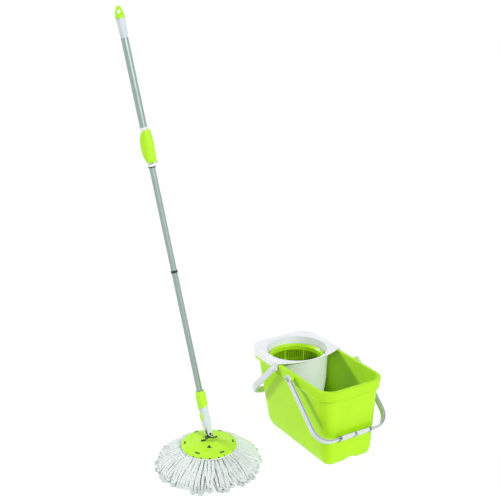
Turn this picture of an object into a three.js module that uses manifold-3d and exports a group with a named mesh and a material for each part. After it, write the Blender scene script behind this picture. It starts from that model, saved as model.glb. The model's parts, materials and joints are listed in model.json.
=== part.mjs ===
// A spin mop standing beside its bucket with the lift-out spinning basket. Millimetres, +Z up.
// The origin is the middle of the flat underside of the bucket; the open end of the bucket faces -Y
// and the basket stands at +Y. The mop stands on its yarn at -X with its pole leaning back.

import * as THREE from 'three';
import { mergeVertices } from 'three/addons/utils/BufferGeometryUtils.js';
import Module from 'manifold-3d';

const wasm = await Module();
wasm.setup();

// ---------------------------------------------------------------- shared sizes

const FIT_GAP = 0.3; // between pieces that are seated on each other
const RUN_GAP = 0.6; // between pieces that turn or slide past each other
const OVERCUT = 1; // how far a cutting tool runs past the face that it opens
const WELD = 1e-4; // distance within which corners are one corner
const HALF_TURN = Math.PI;
const QUARTER_TURN = Math.PI / 2;

const ROUND_STEPS = 36; // sides of a large turned piece
const TUBE_STEPS = 18; // sides of a pole-sized turned piece
const PIN_STEPS = 10; // sides of a pin, a bore or a screw
const CORNER_STEPS = 3; // half the number of chords in a rounded corner
const ARC_HANDLE = 0.5523; // makes a cubic curve follow a quarter circle

// ---------------------------------------------------------------- bucket

const TUB_HEIGHT = 260;
const RIM_LENGTH = 436;
const RIM_WIDTH = 238;
const RIM_CORNER = 53;
const LIP_REACH = 9; // from the body of the tub out to the face of its lip
const LIP_DROP = 33;
const LIP_TAPER = 1.2;
const LIP_CHAMFER = 2;
const WALL = 2.6;
const SIDE_DRAFT = 20; // lean of each wall over the height of the tub
const FRONT_DRAFT = 10;
const REAR_DRAFT = 19;
const CORNER_DRAFT = 14; // what the front corners lose in radius over the height of the tub
const REAR_CORNER_GROWTH = 43; // what the rear corners gain, so that they follow the well
const BASE_ROUND_HEIGHT = 30;
const BASE_ROUND_REACH = 11;
const BASE_ROUND_CORNER = 13;
const BASE_ROUND_STEPS = 4;

const HANDHOLD_HALF_WIDTH = 26; // arch under the front edge, for tipping the tub
const HANDHOLD_HEIGHT = 12;
const HANDHOLD_DEPTH = 42; // in from the face of the rim

const BAIL_SIDE_ROOM = 15; // from the rim out to the middle of each arm
const BAIL_HALF_SPAN = RIM_WIDTH / 2 + BAIL_SIDE_ROOM;
const BAIL_PIVOT_BACK = 173; // behind the front edge of the rim
const BAIL_PIVOT_Y = BAIL_PIVOT_BACK - RIM_LENGTH / 2;
const BAIL_PIVOT_DROP = 12; // below the rim
const BAIL_PIVOT_Z = TUB_HEIGHT - BAIL_PIVOT_DROP;
const BAIL_REACH = 227;
const BAIL_CORNER = 57;
const BAIL_HANG = THREE.MathUtils.degToRad(41.5);

const STRAP_WIDTH = 20; // moulded strap that both carrying handles are made of
const STRAP_THICKNESS = 7;
const STRAP_GROOVE_WIDTH = 12;
const STRAP_GROOVE_DEPTH = 3;
const STRAP_BEND_STEPS = 36;
const EYE_RADIUS = 12;
const PIVOT_RADIUS = 4;
const PIVOT_HEAD_RADIUS = 7.5;
const PIVOT_HEAD_HEIGHT = 3;
const PIVOT_BOSS_RADIUS = 11;
const PIVOT_SEAT_DEPTH = 16; // of a pivot pin in its boss

const GRIP_RING_WIDTH = 8;
const GRIP_SLEEVE_WIDTH = 47.4;
const GRIP_WALL = 2;
const GRIP_RING_PROUD = 0.3;

// ---------------------------------------------------------------- lift-out insert and basket

const INSERT_PLATE = 2.6;
const INSERT_CHAMFER = 1.2;
const INSERT_SKIRT_WALL = 2.2;
const INSERT_SKIRT_DROP = 20;
const INSERT_LENGTH = 214; // from the rear edge of the rim, along the middle
const INSERT_SIDE_LENGTH = 182; // and along the sides
const INSERT_FRONT_MID_Y = RIM_LENGTH / 2 - INSERT_LENGTH;
const INSERT_FRONT_SIDE_Y = RIM_LENGTH / 2 - INSERT_SIDE_LENGTH;
const SPIN_INSET = 113; // from the rear edge of the rim to the axis that the basket turns about
const SPIN_Y = RIM_LENGTH / 2 - SPIN_INSET;
const WELL_RADIUS = 99;
const WELL_WALL = 2.4;
const WELL_DEPTH = 156; // below the rim
const WELL_BOTTOM = TUB_HEIGHT - WELL_DEPTH;
const WELL_TUB_GAP = 1;
const DISH_HALF_WIDTH = 104;
const DISH_HALF_LENGTH = 97.4;
const DISH_DROP = 14; // below the rim
const DISH_BOTTOM = TUB_HEIGHT - DISH_DROP;
const DRAIN_HOLE_COUNT = 10;
const DRAIN_HOLE_RADIUS = 5;
const DRAIN_HOLE_CIRCLE = 58;
const SPINDLE_BOSS_RADIUS = 15;
const SPINDLE_BOSS_HEIGHT = 15;
const SPINDLE_BOSS_TOP = WELL_BOTTOM + SPINDLE_BOSS_HEIGHT;
const SPINDLE_RADIUS = 4;
const SPINDLE_COLLAR_RADIUS = 7;
const SPINDLE_COLLAR_HEIGHT = 3;
const VENT_RADIUS = 3;
const VENT_ANGLE = THREE.MathUtils.degToRad(-14);

const BASKET_RING_RADIUS = 93;
const BASKET_SINK = 20; // of its ring below the rim of the tub
const BASKET_RING_TOP = TUB_HEIGHT - BASKET_SINK;
const BASKET_RING_DROP = 9;
const BASKET_NECK_RADIUS = 87;
const BASKET_FOOT_RADIUS = 79;
const BASKET_WALL = 2.4;
const BASKET_FLOOR_LIFT = 24; // above the underside of the well
const BASKET_FLOOR_Z = WELL_BOTTOM + BASKET_FLOOR_LIFT;
const BASKET_FLOOR = 3;
const BASKET_SLOT_COUNT = 30;
const BASKET_SLOT_WIDTH = 5;
const BASKET_SLOT_RISE = 22; // above the floor of the basket
const BASKET_SLOT_BOTTOM = BASKET_FLOOR_Z + BASKET_SLOT_RISE;
const BASKET_SLOT_DROP = 20; // below the top of its ring
const BASKET_SLOT_TOP = BASKET_RING_TOP - BASKET_SLOT_DROP;
const BASKET_RIB_COUNT = 6;
const FLOOR_SLOT_COUNT = 12;
const FLOOR_SLOT_WIDTH = 6;
const FLOOR_SLOT_INNER = 30;
const FLOOR_SLOT_OUTER = 66;
const HUB_RADIUS = 16;
const HUB_HEIGHT = 30; // above the floor of the basket
const HUB_TOP = BASKET_FLOOR_Z + HUB_HEIGHT;
const BEARING_RADIUS = 11;
const BEARING_HEIGHT = 7;
const HUB_CAP_RADIUS = 12;
const HUB_CAP_HEIGHT = 6;

const HANDLE_SIDE_ROOM = 7.5; // from the rim out to the middle of each arm
const HANDLE_HALF_SPAN = RIM_WIDTH / 2 + HANDLE_SIDE_ROOM;
const HANDLE_PIVOT_INSET = 171; // in from the rear edge of the rim
const HANDLE_PIVOT_Y = RIM_LENGTH / 2 - HANDLE_PIVOT_INSET;
const HANDLE_PIVOT_DROP = 13.5; // below the rim
const HANDLE_PIVOT_Z = TUB_HEIGHT - HANDLE_PIVOT_DROP;
const HANDLE_REACH = 231;
const HANDLE_CORNER = 75;
const HANDLE_HANG = THREE.MathUtils.degToRad(44.7);

// ---------------------------------------------------------------- mop head

const MOP_X = -387;
const MOP_Y = 8;
const YARN_INNER_RADIUS = 30;
const YARN_SPREAD_RADIUS = 166;
const REFILL_INNER_RADIUS = 31;
const REFILL_HEIGHT = 3.6;
const DISC_RADIUS = 85;
const DISC_LIP_BOTTOM = 68;
const DISC_LIP_TOP = 73;
const DISC_LIP_WALL = 3;
const DISC_CENTRE_TOP = 87;
const DISC_FLAT_RADIUS = 33;
const DISC_WALL = 3.4;
const DISC_HUB_RADIUS = 26;
const DISC_HUB_WALL = 3;
const DISC_HUB_BOTTOM = 58;
const DISC_SLOT_COUNT = 6;
const DISC_SLOT_CIRCLE = 75;
const DISC_SLOT_LENGTH = 15;
const DISC_SLOT_WIDTH = 4.5;
const DISC_NOTCH_COUNT = 18;
const DISC_NOTCH_WIDTH = 5;
const DISC_NOTCH_HEIGHT = 3;

const BRACKET_TURN = THREE.MathUtils.degToRad(-3);
const BRACKET_LENGTH = 58;
const BRACKET_WIDTH = 16;
const BRACKET_STEEL = 2;
const BRACKET_SCREW_X = 19.5;
const TILT_PIN_Z = 98;
const YOKE_SIZE = 16;
const PIN_SPACING = 10; // between the two pins of the yoke
const YOKE_PIN_RADIUS = 2.5;
const YOKE_PIN_HEAD_RADIUS = 4;
const YOKE_PIN_HEAD = 2;
const SCREW_HEAD_RADIUS = 4.5;
const SCREW_HEAD = 2.5;
const SCREW_RADIUS = 2;
const SCREW_LENGTH = 8;

// ---------------------------------------------------------------- pole, measured up from its fork pin

const POLE_TILT = THREE.MathUtils.degToRad(-11.7);
const POLE_ROLL = THREE.MathUtils.degToRad(-6.1);

const LOWER_TUBE_RADIUS = 9;
const LOWER_TUBE_WALL = 1;
const UPPER_TUBE_RADIUS = 10.8;
const UPPER_TUBE_WALL = 0.9;

const FORK_CHEEK = 5;
const FORK_CHEEK_WIDTH = 13;
const FORK_CHEEK_TOP = 24;
const FORK_BODY_BOTTOM = 12;
const FORK_BODY_SHOULDER = 23;
const FORK_BODY_TOP = 104;
const FORK_TIP_RADIUS = 8;
const FORK_SHOULDER_RADIUS = 13.6;
const FORK_TOP_RADIUS = 14.3;
const TUBE_SOCKET_DEPTH = 14; // of the lower tube in the fork sleeve
const TUBE_SEAT = FORK_BODY_TOP - TUBE_SOCKET_DEPTH;

const CLIP_LAP = 22; // of the clip sleeve over the fork sleeve
const CLIP_HEIGHT = 55;
const CLIP_BOTTOM = FORK_BODY_TOP - CLIP_LAP;
const CLIP_TOP = CLIP_BOTTOM + CLIP_HEIGHT;
const CLIP_SLANT = 9;
const CLIP_RADIUS = 15.8;
const CLIP_NECK_RADIUS = 13;
const CLIP_NECK_HEIGHT = 10;
const CLIP_TURN = THREE.MathUtils.degToRad(-28);

const BUTTON_RISE = 23; // above the shoulder of the fork sleeve
const BUTTON_HEIGHT = 24;
const BUTTON_BOTTOM = FORK_BODY_SHOULDER + BUTTON_RISE;
const BUTTON_TOP = BUTTON_BOTTOM + BUTTON_HEIGHT;
const BUTTON_WIDTH = 9;
const BUTTON_INNER = 9.5;
const BUTTON_OUTER = 16;
const BUTTON_TRAVEL = 2.5;
const BUTTON_TURN = THREE.MathUtils.degToRad(195);

const JOINT_RING_BOTTOM = 509.5;
const JOINT_RING_HEIGHT = 7;
const JOINT_RING_RADIUS = 10.2;
const JOINT_PLUG_REACH = 38; // of the connector into each tube
const JOINT_PLUG_WALL = 1.6;
const SNAP_RISE = 10.5; // above the joint ring
const SNAP_Z = JOINT_RING_BOTTOM + JOINT_RING_HEIGHT + SNAP_RISE;
const SNAP_RADIUS = 2.6;
const SNAP_FOOT_RADIUS = 3.6;
const SNAP_FOOT_HEIGHT = 1.4;
const SNAP_PROUD = 1.8;
const SNAP_TURN = THREE.MathUtils.degToRad(195);

const LOWER_POLE_TOP = 955;
const NUT_SHANK = 22;
const NUT_FLANGE = 5;
const NUT_WALL = 2.4;

const POLE_LAP = 126; // of the lower pole in the upper one
const LOCK_HEIGHT = 114;
const LOCK_BOTTOM = LOWER_POLE_TOP - POLE_LAP;
const LOCK_TOP = LOCK_BOTTOM + LOCK_HEIGHT;
const LOCK_RADIUS = 13.8;
const LOCK_COLLAR_RADIUS = 12.6;
const LOCK_COLLAR_HEIGHT = 7;
const LOCK_SOCKET_DEPTH = 18; // of the upper tube in the lock body
const LOCK_SOCKET_Z = LOCK_TOP - LOCK_SOCKET_DEPTH;
const WIPER_HEIGHT = 3;
const WIPER_RADIUS = 11.4;

const LEVER_RISE = 3; // above the foot of the lock body
const LEVER_MOUTH = 14;
const LEVER_BULGE_HEIGHT = 53;
const LEVER_HEIGHT = 103;
const LEVER_PIN_HEIGHT = 7;
const LEVER_BOTTOM = LOCK_BOTTOM + LEVER_RISE;
const LEVER_WEB_BOTTOM = LEVER_BOTTOM + LEVER_MOUTH;
const LEVER_MIDDLE = LEVER_BOTTOM + LEVER_BULGE_HEIGHT;
const LEVER_TOP = LEVER_BOTTOM + LEVER_HEIGHT;
const LEVER_PIN_X = 12;
const LEVER_PIN_Z = LEVER_BOTTOM + LEVER_PIN_HEIGHT;
const LEVER_PIN_RADIUS = 1.5;
const LEVER_HALF_WIDTH = 17.6;
const LEVER_CAVITY = 14.4;
const LEVER_FOOT_RADIUS = 15.4;
const LEVER_REAR = -7; // how far its flanks reach behind the axis of the pole
const LEVER_BULGE_RADIUS = 19;
const LEVER_END_RADIUS = 17;
const LEVER_TURN = THREE.MathUtils.degToRad(-57);
const LUG_WIDTH = 12;
const LUG_REACH = 14.6;
const LUG_HEIGHT = 12;
const LUG_BOTTOM = LEVER_PIN_Z - LUG_HEIGHT / 2;
const LUG_TOP = LUG_BOTTOM + LUG_HEIGHT;

const UPPER_TUBE_LENGTH = 272;
const UPPER_TUBE_TOP = LOCK_SOCKET_Z + UPPER_TUBE_LENGTH;
const END_SLEEVE_HEIGHT = 55;
const END_SLEEVE_TOP = UPPER_TUBE_TOP + END_SLEEVE_HEIGHT;
const END_SLEEVE_RADIUS = 13.2;
const END_SPIGOT_LENGTH = 16;
const CAP_SPIGOT_RADIUS = 8.5;
const CAP_SPIGOT_HEIGHT = 4;
const SPINDLE_BAR_WIDTH = 8;
const SPINDLE_BAR_THICKNESS = 2.5;
const SPINDLE_BAR_REACH = 35; // below the foot of the upper tube
const SPINDLE_BAR_BOTTOM = LOCK_SOCKET_Z - SPINDLE_BAR_REACH;
const SPINDLE_BAR_STEPS = 40;
const SPINDLE_LEAD = 100; // travel of the handle for one turn of the head

const CAP_HEIGHT = 35;
const CAP_TOP = END_SLEEVE_TOP + CAP_HEIGHT;
const CAP_THICKNESS = 15;
const CAP_BASE_RADIUS = 14.2;
const CAP_SHOULDER_RADIUS = 12;
const CAP_TOP_RADIUS = 7;
const EYELET_DROP = 16; // below the top of the cap
const EYELET_Z = CAP_TOP - EYELET_DROP;
const EYELET_RADIUS = 5.5;
const CAP_TURN = THREE.MathUtils.degToRad(-28);

// ---------------------------------------------------------------- finishes

const finish = (color, roughness, metalness = 0) =>
  new THREE.MeshStandardMaterial({ color, roughness, metalness });

const LIME = finish(0x9ae81e, 0.35);
const MOP_LIME = finish(0xb6f03a, 0.4);
const WHITE = finish(0xdde4e4, 0.45);
const STEEL = finish(0xa7b8b1, 0.3, 0.9);
const BRIGHT_STEEL = finish(0xc4cacb, 0.22, 1);
const DARK = finish(0x30343a, 0.7);
const YARN = finish(0xe7ebe4, 0.95);

// ---------------------------------------------------------------- making solids

/** Turns any closed three.js geometry into the welded solid that manifold-3d works on. */
function toSolid(geometry) {
  const bare = geometry.clone();
  bare.deleteAttribute('normal');
  bare.deleteAttribute('uv');
  const welded = mergeVertices(bare, WELD);
  const corners = welded.index.array;
  const triangles = [];
  for (let i = 0; i < corners.length; i += 3) {
    const [a, b, c] = [corners[i], corners[i + 1], corners[i + 2]];
    if (a !== b && b !== c && c !== a) {
      triangles.push(a, b, c);
    }
  }
  return new wasm.Manifold(
    new wasm.Mesh({
      numProp: 3,
      vertProperties: new Float32Array(welded.attributes.position.array),
      triVerts: new Uint32Array(triangles),
    }),
  );
}

/** Turns a manifold-3d solid back into a three.js geometry. */
function toGeometry(solid) {
  const mesh = solid.getMesh();
  const geometry = new THREE.BufferGeometry();
  geometry.setAttribute('position', new THREE.BufferAttribute(mesh.vertProperties, mesh.numProp));
  geometry.setIndex(new THREE.BufferAttribute(mesh.triVerts, 1));
  return geometry;
}

const fuse = (first, ...others) =>
  toGeometry(others.reduce((solid, other) => solid.add(toSolid(other)), toSolid(first)));

const carve = (first, ...others) =>
  toGeometry(others.reduce((solid, other) => solid.subtract(toSolid(other)), toSolid(first)));

const keepCommon = (first, second) => toGeometry(toSolid(first).intersect(toSolid(second)));

/** Spins a profile of [radius, height] pairs, listed counterclockwise, about the Z axis. */
function turned(profile, steps = TUBE_STEPS) {
  const points = profile.map(([radius, height]) => new THREE.Vector2(radius, height));
  return new THREE.LatheGeometry(points, steps).rotateX(QUARTER_TURN);
}

/** A plain tube or ring about the Z axis. */
const ring = (inner, outer, bottom, top, steps = TUBE_STEPS) =>
  turned([[inner, bottom], [outer, bottom], [outer, top], [inner, top], [inner, bottom]], steps);

/** A plain cylinder about the Z axis. */
const rod = (radius, bottom, top, steps = PIN_STEPS) =>
  turned([[0, bottom], [radius, bottom], [radius, top], [0, top]], steps);

const alongX = (geometry) => geometry.rotateY(QUARTER_TURN);
const alongY = (geometry) => geometry.rotateX(-QUARTER_TURN);

/** A box given by its two opposite corners. */
function block([x0, y0, z0], [x1, y1, z1]) {
  const box = new THREE.BoxGeometry(x1 - x0, y1 - y0, z1 - z0);
  return box.translate((x0 + x1) / 2, (y0 + y1) / 2, (z0 + z1) / 2);
}

/** A rectangle with round corners about the origin. */
function roundedRectangle(width, length, radius) {
  const x = width / 2 - radius;
  const y = length / 2 - radius;
  const shape = new THREE.Shape();
  shape.moveTo(-x, -y - radius);
  shape.absarc(x, -y, radius, -QUARTER_TURN, 0);
  shape.absarc(x, y, radius, 0, QUARTER_TURN);
  shape.absarc(-x, y, radius, QUARTER_TURN, HALF_TURN);
  shape.absarc(-x, -y, radius, HALF_TURN, HALF_TURN + QUARTER_TURN);
  return shape;
}

/** The corners of a closed shape, each listed once. */
function outline(shape, divisions) {
  const points = shape.getPoints(divisions);
  if (points[0].distanceTo(points[points.length - 1]) < WELD) {
    points.pop();
  }
  return points;
}

/** Joins level outlines, listed from the bottom up as { z, points }, into one closed solid. */
function loft(levels) {
  const count = levels[0].points.length;
  const positions = [];
  const index = [];
  for (const { z, points } of levels) {
    for (const point of points) {
      positions.push(point.x, point.y, z);
    }
  }
  for (let level = 0; level < levels.length - 1; level += 1) {
    for (let i = 0; i < count; i += 1) {
      const a = level * count + i;
      const b = level * count + ((i + 1) % count);
      index.push(a, b, b + count, a, b + count, a + count);
    }
  }
  const top = (levels.length - 1) * count;
  for (let i = 1; i < count - 1; i += 1) {
    index.push(0, i + 1, i, top, top + i, top + i + 1);
  }
  const geometry = new THREE.BufferGeometry();
  geometry.setAttribute('position', new THREE.Float32BufferAttribute(positions, 3));
  geometry.setIndex(index);
  return geometry;
}

/** Repeats what make(angle) returns at equal turns about the Z axis through a centre. */
function aroundZ(count, make, firstAngle = 0) {
  return Array.from({ length: count }, (_, i) => {
    const angle = firstAngle + (2 * HALF_TURN * i) / count;
    return make(angle).rotateZ(angle);
  });
}

/** Names a solid and gives it its finish. */
function piece(name, geometry, material) {
  const solid = toGeometry(toSolid(geometry));
  solid.computeVertexNormals();
  const mesh = new THREE.Mesh(solid, material);
  mesh.name = name;
  return mesh;
}

/** Puts pieces and sub-groups together under one placement. */
function assembly(children, { position = [0, 0, 0], rotation = [0, 0, 0] } = {}) {
  const group = new THREE.Group();
  group.position.set(...position);
  group.rotation.set(...rotation);
  group.add(...children);
  return group;
}

// ---------------------------------------------------------------- heights worked out from the sizes

const PLATE_BOTTOM = TUB_HEIGHT + FIT_GAP;
const PLATE_TOP = PLATE_BOTTOM + INSERT_PLATE;
const SKIRT_BOTTOM = PLATE_BOTTOM - INSERT_SKIRT_DROP;
const WELL_INNER_RADIUS = WELL_RADIUS - WELL_WALL;
const SPINDLE_COLLAR_Z = SPINDLE_BOSS_TOP + FIT_GAP;
const BEARING_Z = SPINDLE_COLLAR_Z + SPINDLE_COLLAR_HEIGHT + FIT_GAP;
const HUB_BOTTOM = BEARING_Z + RUN_GAP;
const HUB_CAP_Z = HUB_TOP + FIT_GAP;
const BRACKET_Z = DISC_CENTRE_TOP + FIT_GAP;
const BRACKET_TOP = BRACKET_Z + BRACKET_STEEL;
const EAR_INNER = YOKE_SIZE / 2 + FIT_GAP;
const EAR_OUTER = EAR_INNER + BRACKET_STEEL;
const REFILL_TOP = DISC_LIP_BOTTOM - FIT_GAP;
const REFILL_BOTTOM = REFILL_TOP - REFILL_HEIGHT;
const YARN_TOP = REFILL_BOTTOM - FIT_GAP;
const LOWER_BORE = LOWER_TUBE_RADIUS - LOWER_TUBE_WALL;
const UPPER_BORE = UPPER_TUBE_RADIUS - UPPER_TUBE_WALL;
const PLUG_RADIUS = LOWER_BORE - FIT_GAP;
const JOINT_RING_TOP = JOINT_RING_BOTTOM + JOINT_RING_HEIGHT;
const NUT_RADIUS = LOWER_BORE - RUN_GAP;
const NUT_SEAT = LOWER_POLE_TOP + FIT_GAP;
const SPINDLE_SOCKET_RADIUS = Math.hypot(SPINDLE_BAR_WIDTH, SPINDLE_BAR_THICKNESS) / 2 + FIT_GAP;
const SPINDLE_SOCKET_TOP = UPPER_TUBE_TOP + RUN_GAP;

// ---------------------------------------------------------------- the tub

/** Outline of the tub's body at a height, drawn in from its outer face by an inset. */
function tubOutline(z, inset, shapeHeight = z) {
  const fall = 1 - shapeHeight / TUB_HEIGHT;
  const below = Math.max(0, 1 - shapeHeight / BASE_ROUND_HEIGHT);
  const round = 1 - Math.sqrt(1 - below * below);
  const reach = LIP_REACH + BASE_ROUND_REACH * round + inset;
  const side = RIM_WIDTH / 2 - reach - SIDE_DRAFT * fall;
  const front = RIM_LENGTH / 2 - reach - FRONT_DRAFT * fall;
  const rear = RIM_LENGTH / 2 - reach - REAR_DRAFT * fall;
  const corner = RIM_CORNER - LIP_REACH - BASE_ROUND_CORNER * round - inset;
  const frontCorner = corner - CORNER_DRAFT * fall;
  const rearCorner = Math.min(corner + REAR_CORNER_GROWTH * fall, side - WELD);
  const shape = new THREE.Shape();
  shape.absarc(frontCorner - side, frontCorner - front, frontCorner, HALF_TURN, -QUARTER_TURN);
  shape.absarc(side - frontCorner, frontCorner - front, frontCorner, -QUARTER_TURN, 0);
  shape.absarc(side - rearCorner, rear - rearCorner, rearCorner, 0, QUARTER_TURN);
  shape.absarc(rearCorner - side, rear - rearCorner, rearCorner, QUARTER_TURN, HALF_TURN);
  return { z, points: outline(shape, CORNER_STEPS) };
}

/** The body of the tub as one block, drawn in by an inset and standing on a floor of its own. */
function tubBlock(inset, floor, top) {
  const levels = [];
  for (let step = 0; step <= BASE_ROUND_STEPS; step += 1) {
    const height = BASE_ROUND_HEIGHT * (1 - Math.cos((QUARTER_TURN * step) / BASE_ROUND_STEPS));
    const lift = floor * (1 - height / BASE_ROUND_HEIGHT);
    levels.push(tubOutline(height + lift, inset, height));
  }
  levels.push(tubOutline(top, inset));
  return loft(levels);
}

/** Outline of the lip around the rim, drawn in from its outer face. */
function lipOutline(z, inset) {
  const width = RIM_WIDTH - 2 * inset;
  const length = RIM_LENGTH - 2 * inset;
  return { z, points: outline(roundedRectangle(width, length, RIM_CORNER - inset), CORNER_STEPS) };
}

/** The arch pressed into the front edge of the base for tipping the tub, grown by a thickness. */
function handhold(grow) {
  const radius = (HANDHOLD_HALF_WIDTH ** 2 + HANDHOLD_HEIGHT ** 2) / (2 * HANDHOLD_HEIGHT);
  const arch = alongY(rod(radius + grow, 0, HANDHOLD_DEPTH + grow, TUBE_STEPS));
  return arch.translate(0, -RIM_LENGTH / 2, HANDHOLD_HEIGHT - radius);
}

/** Both sides of a piece that is made along +X, turned to face outwards at x and -x. */
function bothSides(make, y, z) {
  return [make(), make().rotateZ(HALF_TURN)].map((side) => side.translate(0, y, z));
}

function makeTub() {
  const body = carve(tubBlock(0, 0, TUB_HEIGHT), handhold(0));
  const interior = carve(tubBlock(WALL, WALL, TUB_HEIGHT + OVERCUT), handhold(WALL));
  const lip = loft([
    lipOutline(TUB_HEIGHT - LIP_DROP, LIP_TAPER),
    lipOutline(TUB_HEIGHT - LIP_CHAMFER, 0),
    lipOutline(TUB_HEIGHT, LIP_CHAMFER),
  ]);
  const underLip = loft([
    lipOutline(TUB_HEIGHT - LIP_DROP - OVERCUT, LIP_TAPER + WALL),
    lipOutline(TUB_HEIGHT - WALL, WALL),
  ]);
  const bossFace = BAIL_HALF_SPAN - STRAP_THICKNESS / 2 - FIT_GAP;
  const bossRoot = RIM_WIDTH / 2 - LIP_REACH - WALL;
  const bosses = bothSides(
    () => alongX(rod(PIVOT_BOSS_RADIUS, bossRoot, bossFace, TUBE_STEPS)),
    BAIL_PIVOT_Y,
    BAIL_PIVOT_Z,
  );
  const bores = bothSides(
    () => alongX(rod(PIVOT_RADIUS + FIT_GAP, bossFace - PIVOT_SEAT_DEPTH, bossFace + OVERCUT)),
    BAIL_PIVOT_Y,
    BAIL_PIVOT_Z,
  );
  return carve(fuse(carve(lip, underLip), body, ...bosses), interior, ...bores);
}

// ---------------------------------------------------------------- carrying handles

/** Cross-section of the moulded strap, with its groove on the side towards the bucket. */
function strapSection() {
  const width = STRAP_WIDTH / 2;
  const thickness = STRAP_THICKNESS / 2;
  const groove = STRAP_GROOVE_WIDTH / 2;
  const chamfer = STRAP_THICKNESS / 6;
  const corners = [
    [chamfer - width, -thickness],
    [width - chamfer, -thickness],
    [width, chamfer - thickness],
    [width, thickness],
    [groove, thickness],
    [groove, thickness - STRAP_GROOVE_DEPTH],
    [-groove, thickness - STRAP_GROOVE_DEPTH],
    [-groove, thickness],
    [-width, thickness],
    [-width, chamfer - thickness],
  ];
  return new THREE.Shape(corners.map(([x, y]) => new THREE.Vector2(x, y)));
}

/** A U-shaped handle in the XY plane, pivoted at y = 0 and reaching to -Y or +Y. */
function strapHandle(halfSpan, reach, corner, side) {
  const point = (x, y) => new THREE.Vector3(side * x, side * y, 0);
  const pull = corner * (1 - ARC_HANDLE);
  const path = new THREE.CurvePath();
  path.add(new THREE.LineCurve3(point(halfSpan, 0), point(halfSpan, reach - corner)));
  path.add(
    new THREE.CubicBezierCurve3(
      point(halfSpan, reach - corner),
      point(halfSpan, reach - pull),
      point(halfSpan - pull, reach),
      point(halfSpan - corner, reach),
    ),
  );
  path.add(new THREE.LineCurve3(point(halfSpan - corner, reach), point(corner - halfSpan, reach)));
  path.add(
    new THREE.CubicBezierCurve3(
      point(corner - halfSpan, reach),
      point(pull - halfSpan, reach),
      point(-halfSpan, reach - pull),
      point(-halfSpan, reach - corner),
    ),
  );
  path.add(new THREE.LineCurve3(point(-halfSpan, reach - corner), point(-halfSpan, 0)));
  const strap = new THREE.ExtrudeGeometry(strapSection(), {
    steps: STRAP_BEND_STEPS,
    extrudePath: path,
  });
  const inner = halfSpan - STRAP_THICKNESS / 2;
  const outer = halfSpan + STRAP_THICKNESS / 2;
  const eyes = bothSides(() => alongX(rod(EYE_RADIUS, inner, outer, TUBE_STEPS)), 0, 0);
  const bore = alongX(rod(PIVOT_RADIUS + FIT_GAP, -outer - OVERCUT, outer + OVERCUT));
  return carve(fuse(strap, ...eyes), bore);
}

/** A headed pin along +X from its seat to past the outer face of a handle's arm. */
function pivotPin(seat, halfSpan) {
  const face = halfSpan + STRAP_THICKNESS / 2 + FIT_GAP;
  const crown = PIVOT_HEAD_HEIGHT / 3;
  const profile = [
    [0, seat],
    [PIVOT_RADIUS, seat],
    [PIVOT_RADIUS, face],
    [PIVOT_HEAD_RADIUS, face],
    [PIVOT_HEAD_RADIUS, face + PIVOT_HEAD_HEIGHT - crown],
    [PIVOT_HEAD_RADIUS - crown, face + PIVOT_HEAD_HEIGHT],
    [0, face + PIVOT_HEAD_HEIGHT],
  ];
  return alongX(turned(profile, TUBE_STEPS));
}

/** A piece of the grip around the bar of the front handle, centred on x. */
function gripPiece(x, width, grow) {
  const inner = FIT_GAP;
  const outer = FIT_GAP + GRIP_WALL + grow;
  const sleeve = roundedRectangle(STRAP_WIDTH + 2 * outer, STRAP_THICKNESS + 2 * outer, outer);
  sleeve.holes.push(
    new THREE.Path(
      outline(
        roundedRectangle(STRAP_WIDTH + 2 * inner, STRAP_THICKNESS + 2 * inner, inner),
        1,
      ).reverse(),
    ),
  );
  const extruded = new THREE.ExtrudeGeometry(sleeve, {
    depth: width,
    bevelEnabled: false,
    curveSegments: CORNER_STEPS,
  });
  return alongX(extruded.translate(0, 0, x - width / 2)).translate(0, -BAIL_REACH, 0);
}

// ---------------------------------------------------------------- lift-out insert

/** Outline of the insert's plate: round corners at the rear and a shallow curve in front. */
function plateShape() {
  const reach = RUN_GAP + INSERT_SKIRT_WALL;
  const side = RIM_WIDTH / 2 + reach;
  const rear = RIM_LENGTH / 2 + reach;
  const corner = RIM_CORNER + reach;
  const rise = INSERT_FRONT_SIDE_Y - INSERT_FRONT_MID_Y;
  const sweep = (side ** 2 + rise ** 2) / (2 * rise);
  const half = Math.asin(side / sweep);
  const shape = new THREE.Shape();
  shape.absarc(0, INSERT_FRONT_MID_Y + sweep, sweep, -QUARTER_TURN - half, half - QUARTER_TURN);
  shape.absarc(side - corner, rear - corner, corner, 0, QUARTER_TURN);
  shape.absarc(corner - side, rear - corner, corner, QUARTER_TURN, HALF_TURN);
  return shape;
}

/** An oval level outline about the axis of the basket. */
function oval(z, halfWidth, halfLength) {
  const curve = new THREE.EllipseCurve(0, SPIN_Y, halfWidth, halfLength);
  return { z, points: outline(curve, ROUND_STEPS) };
}

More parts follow.
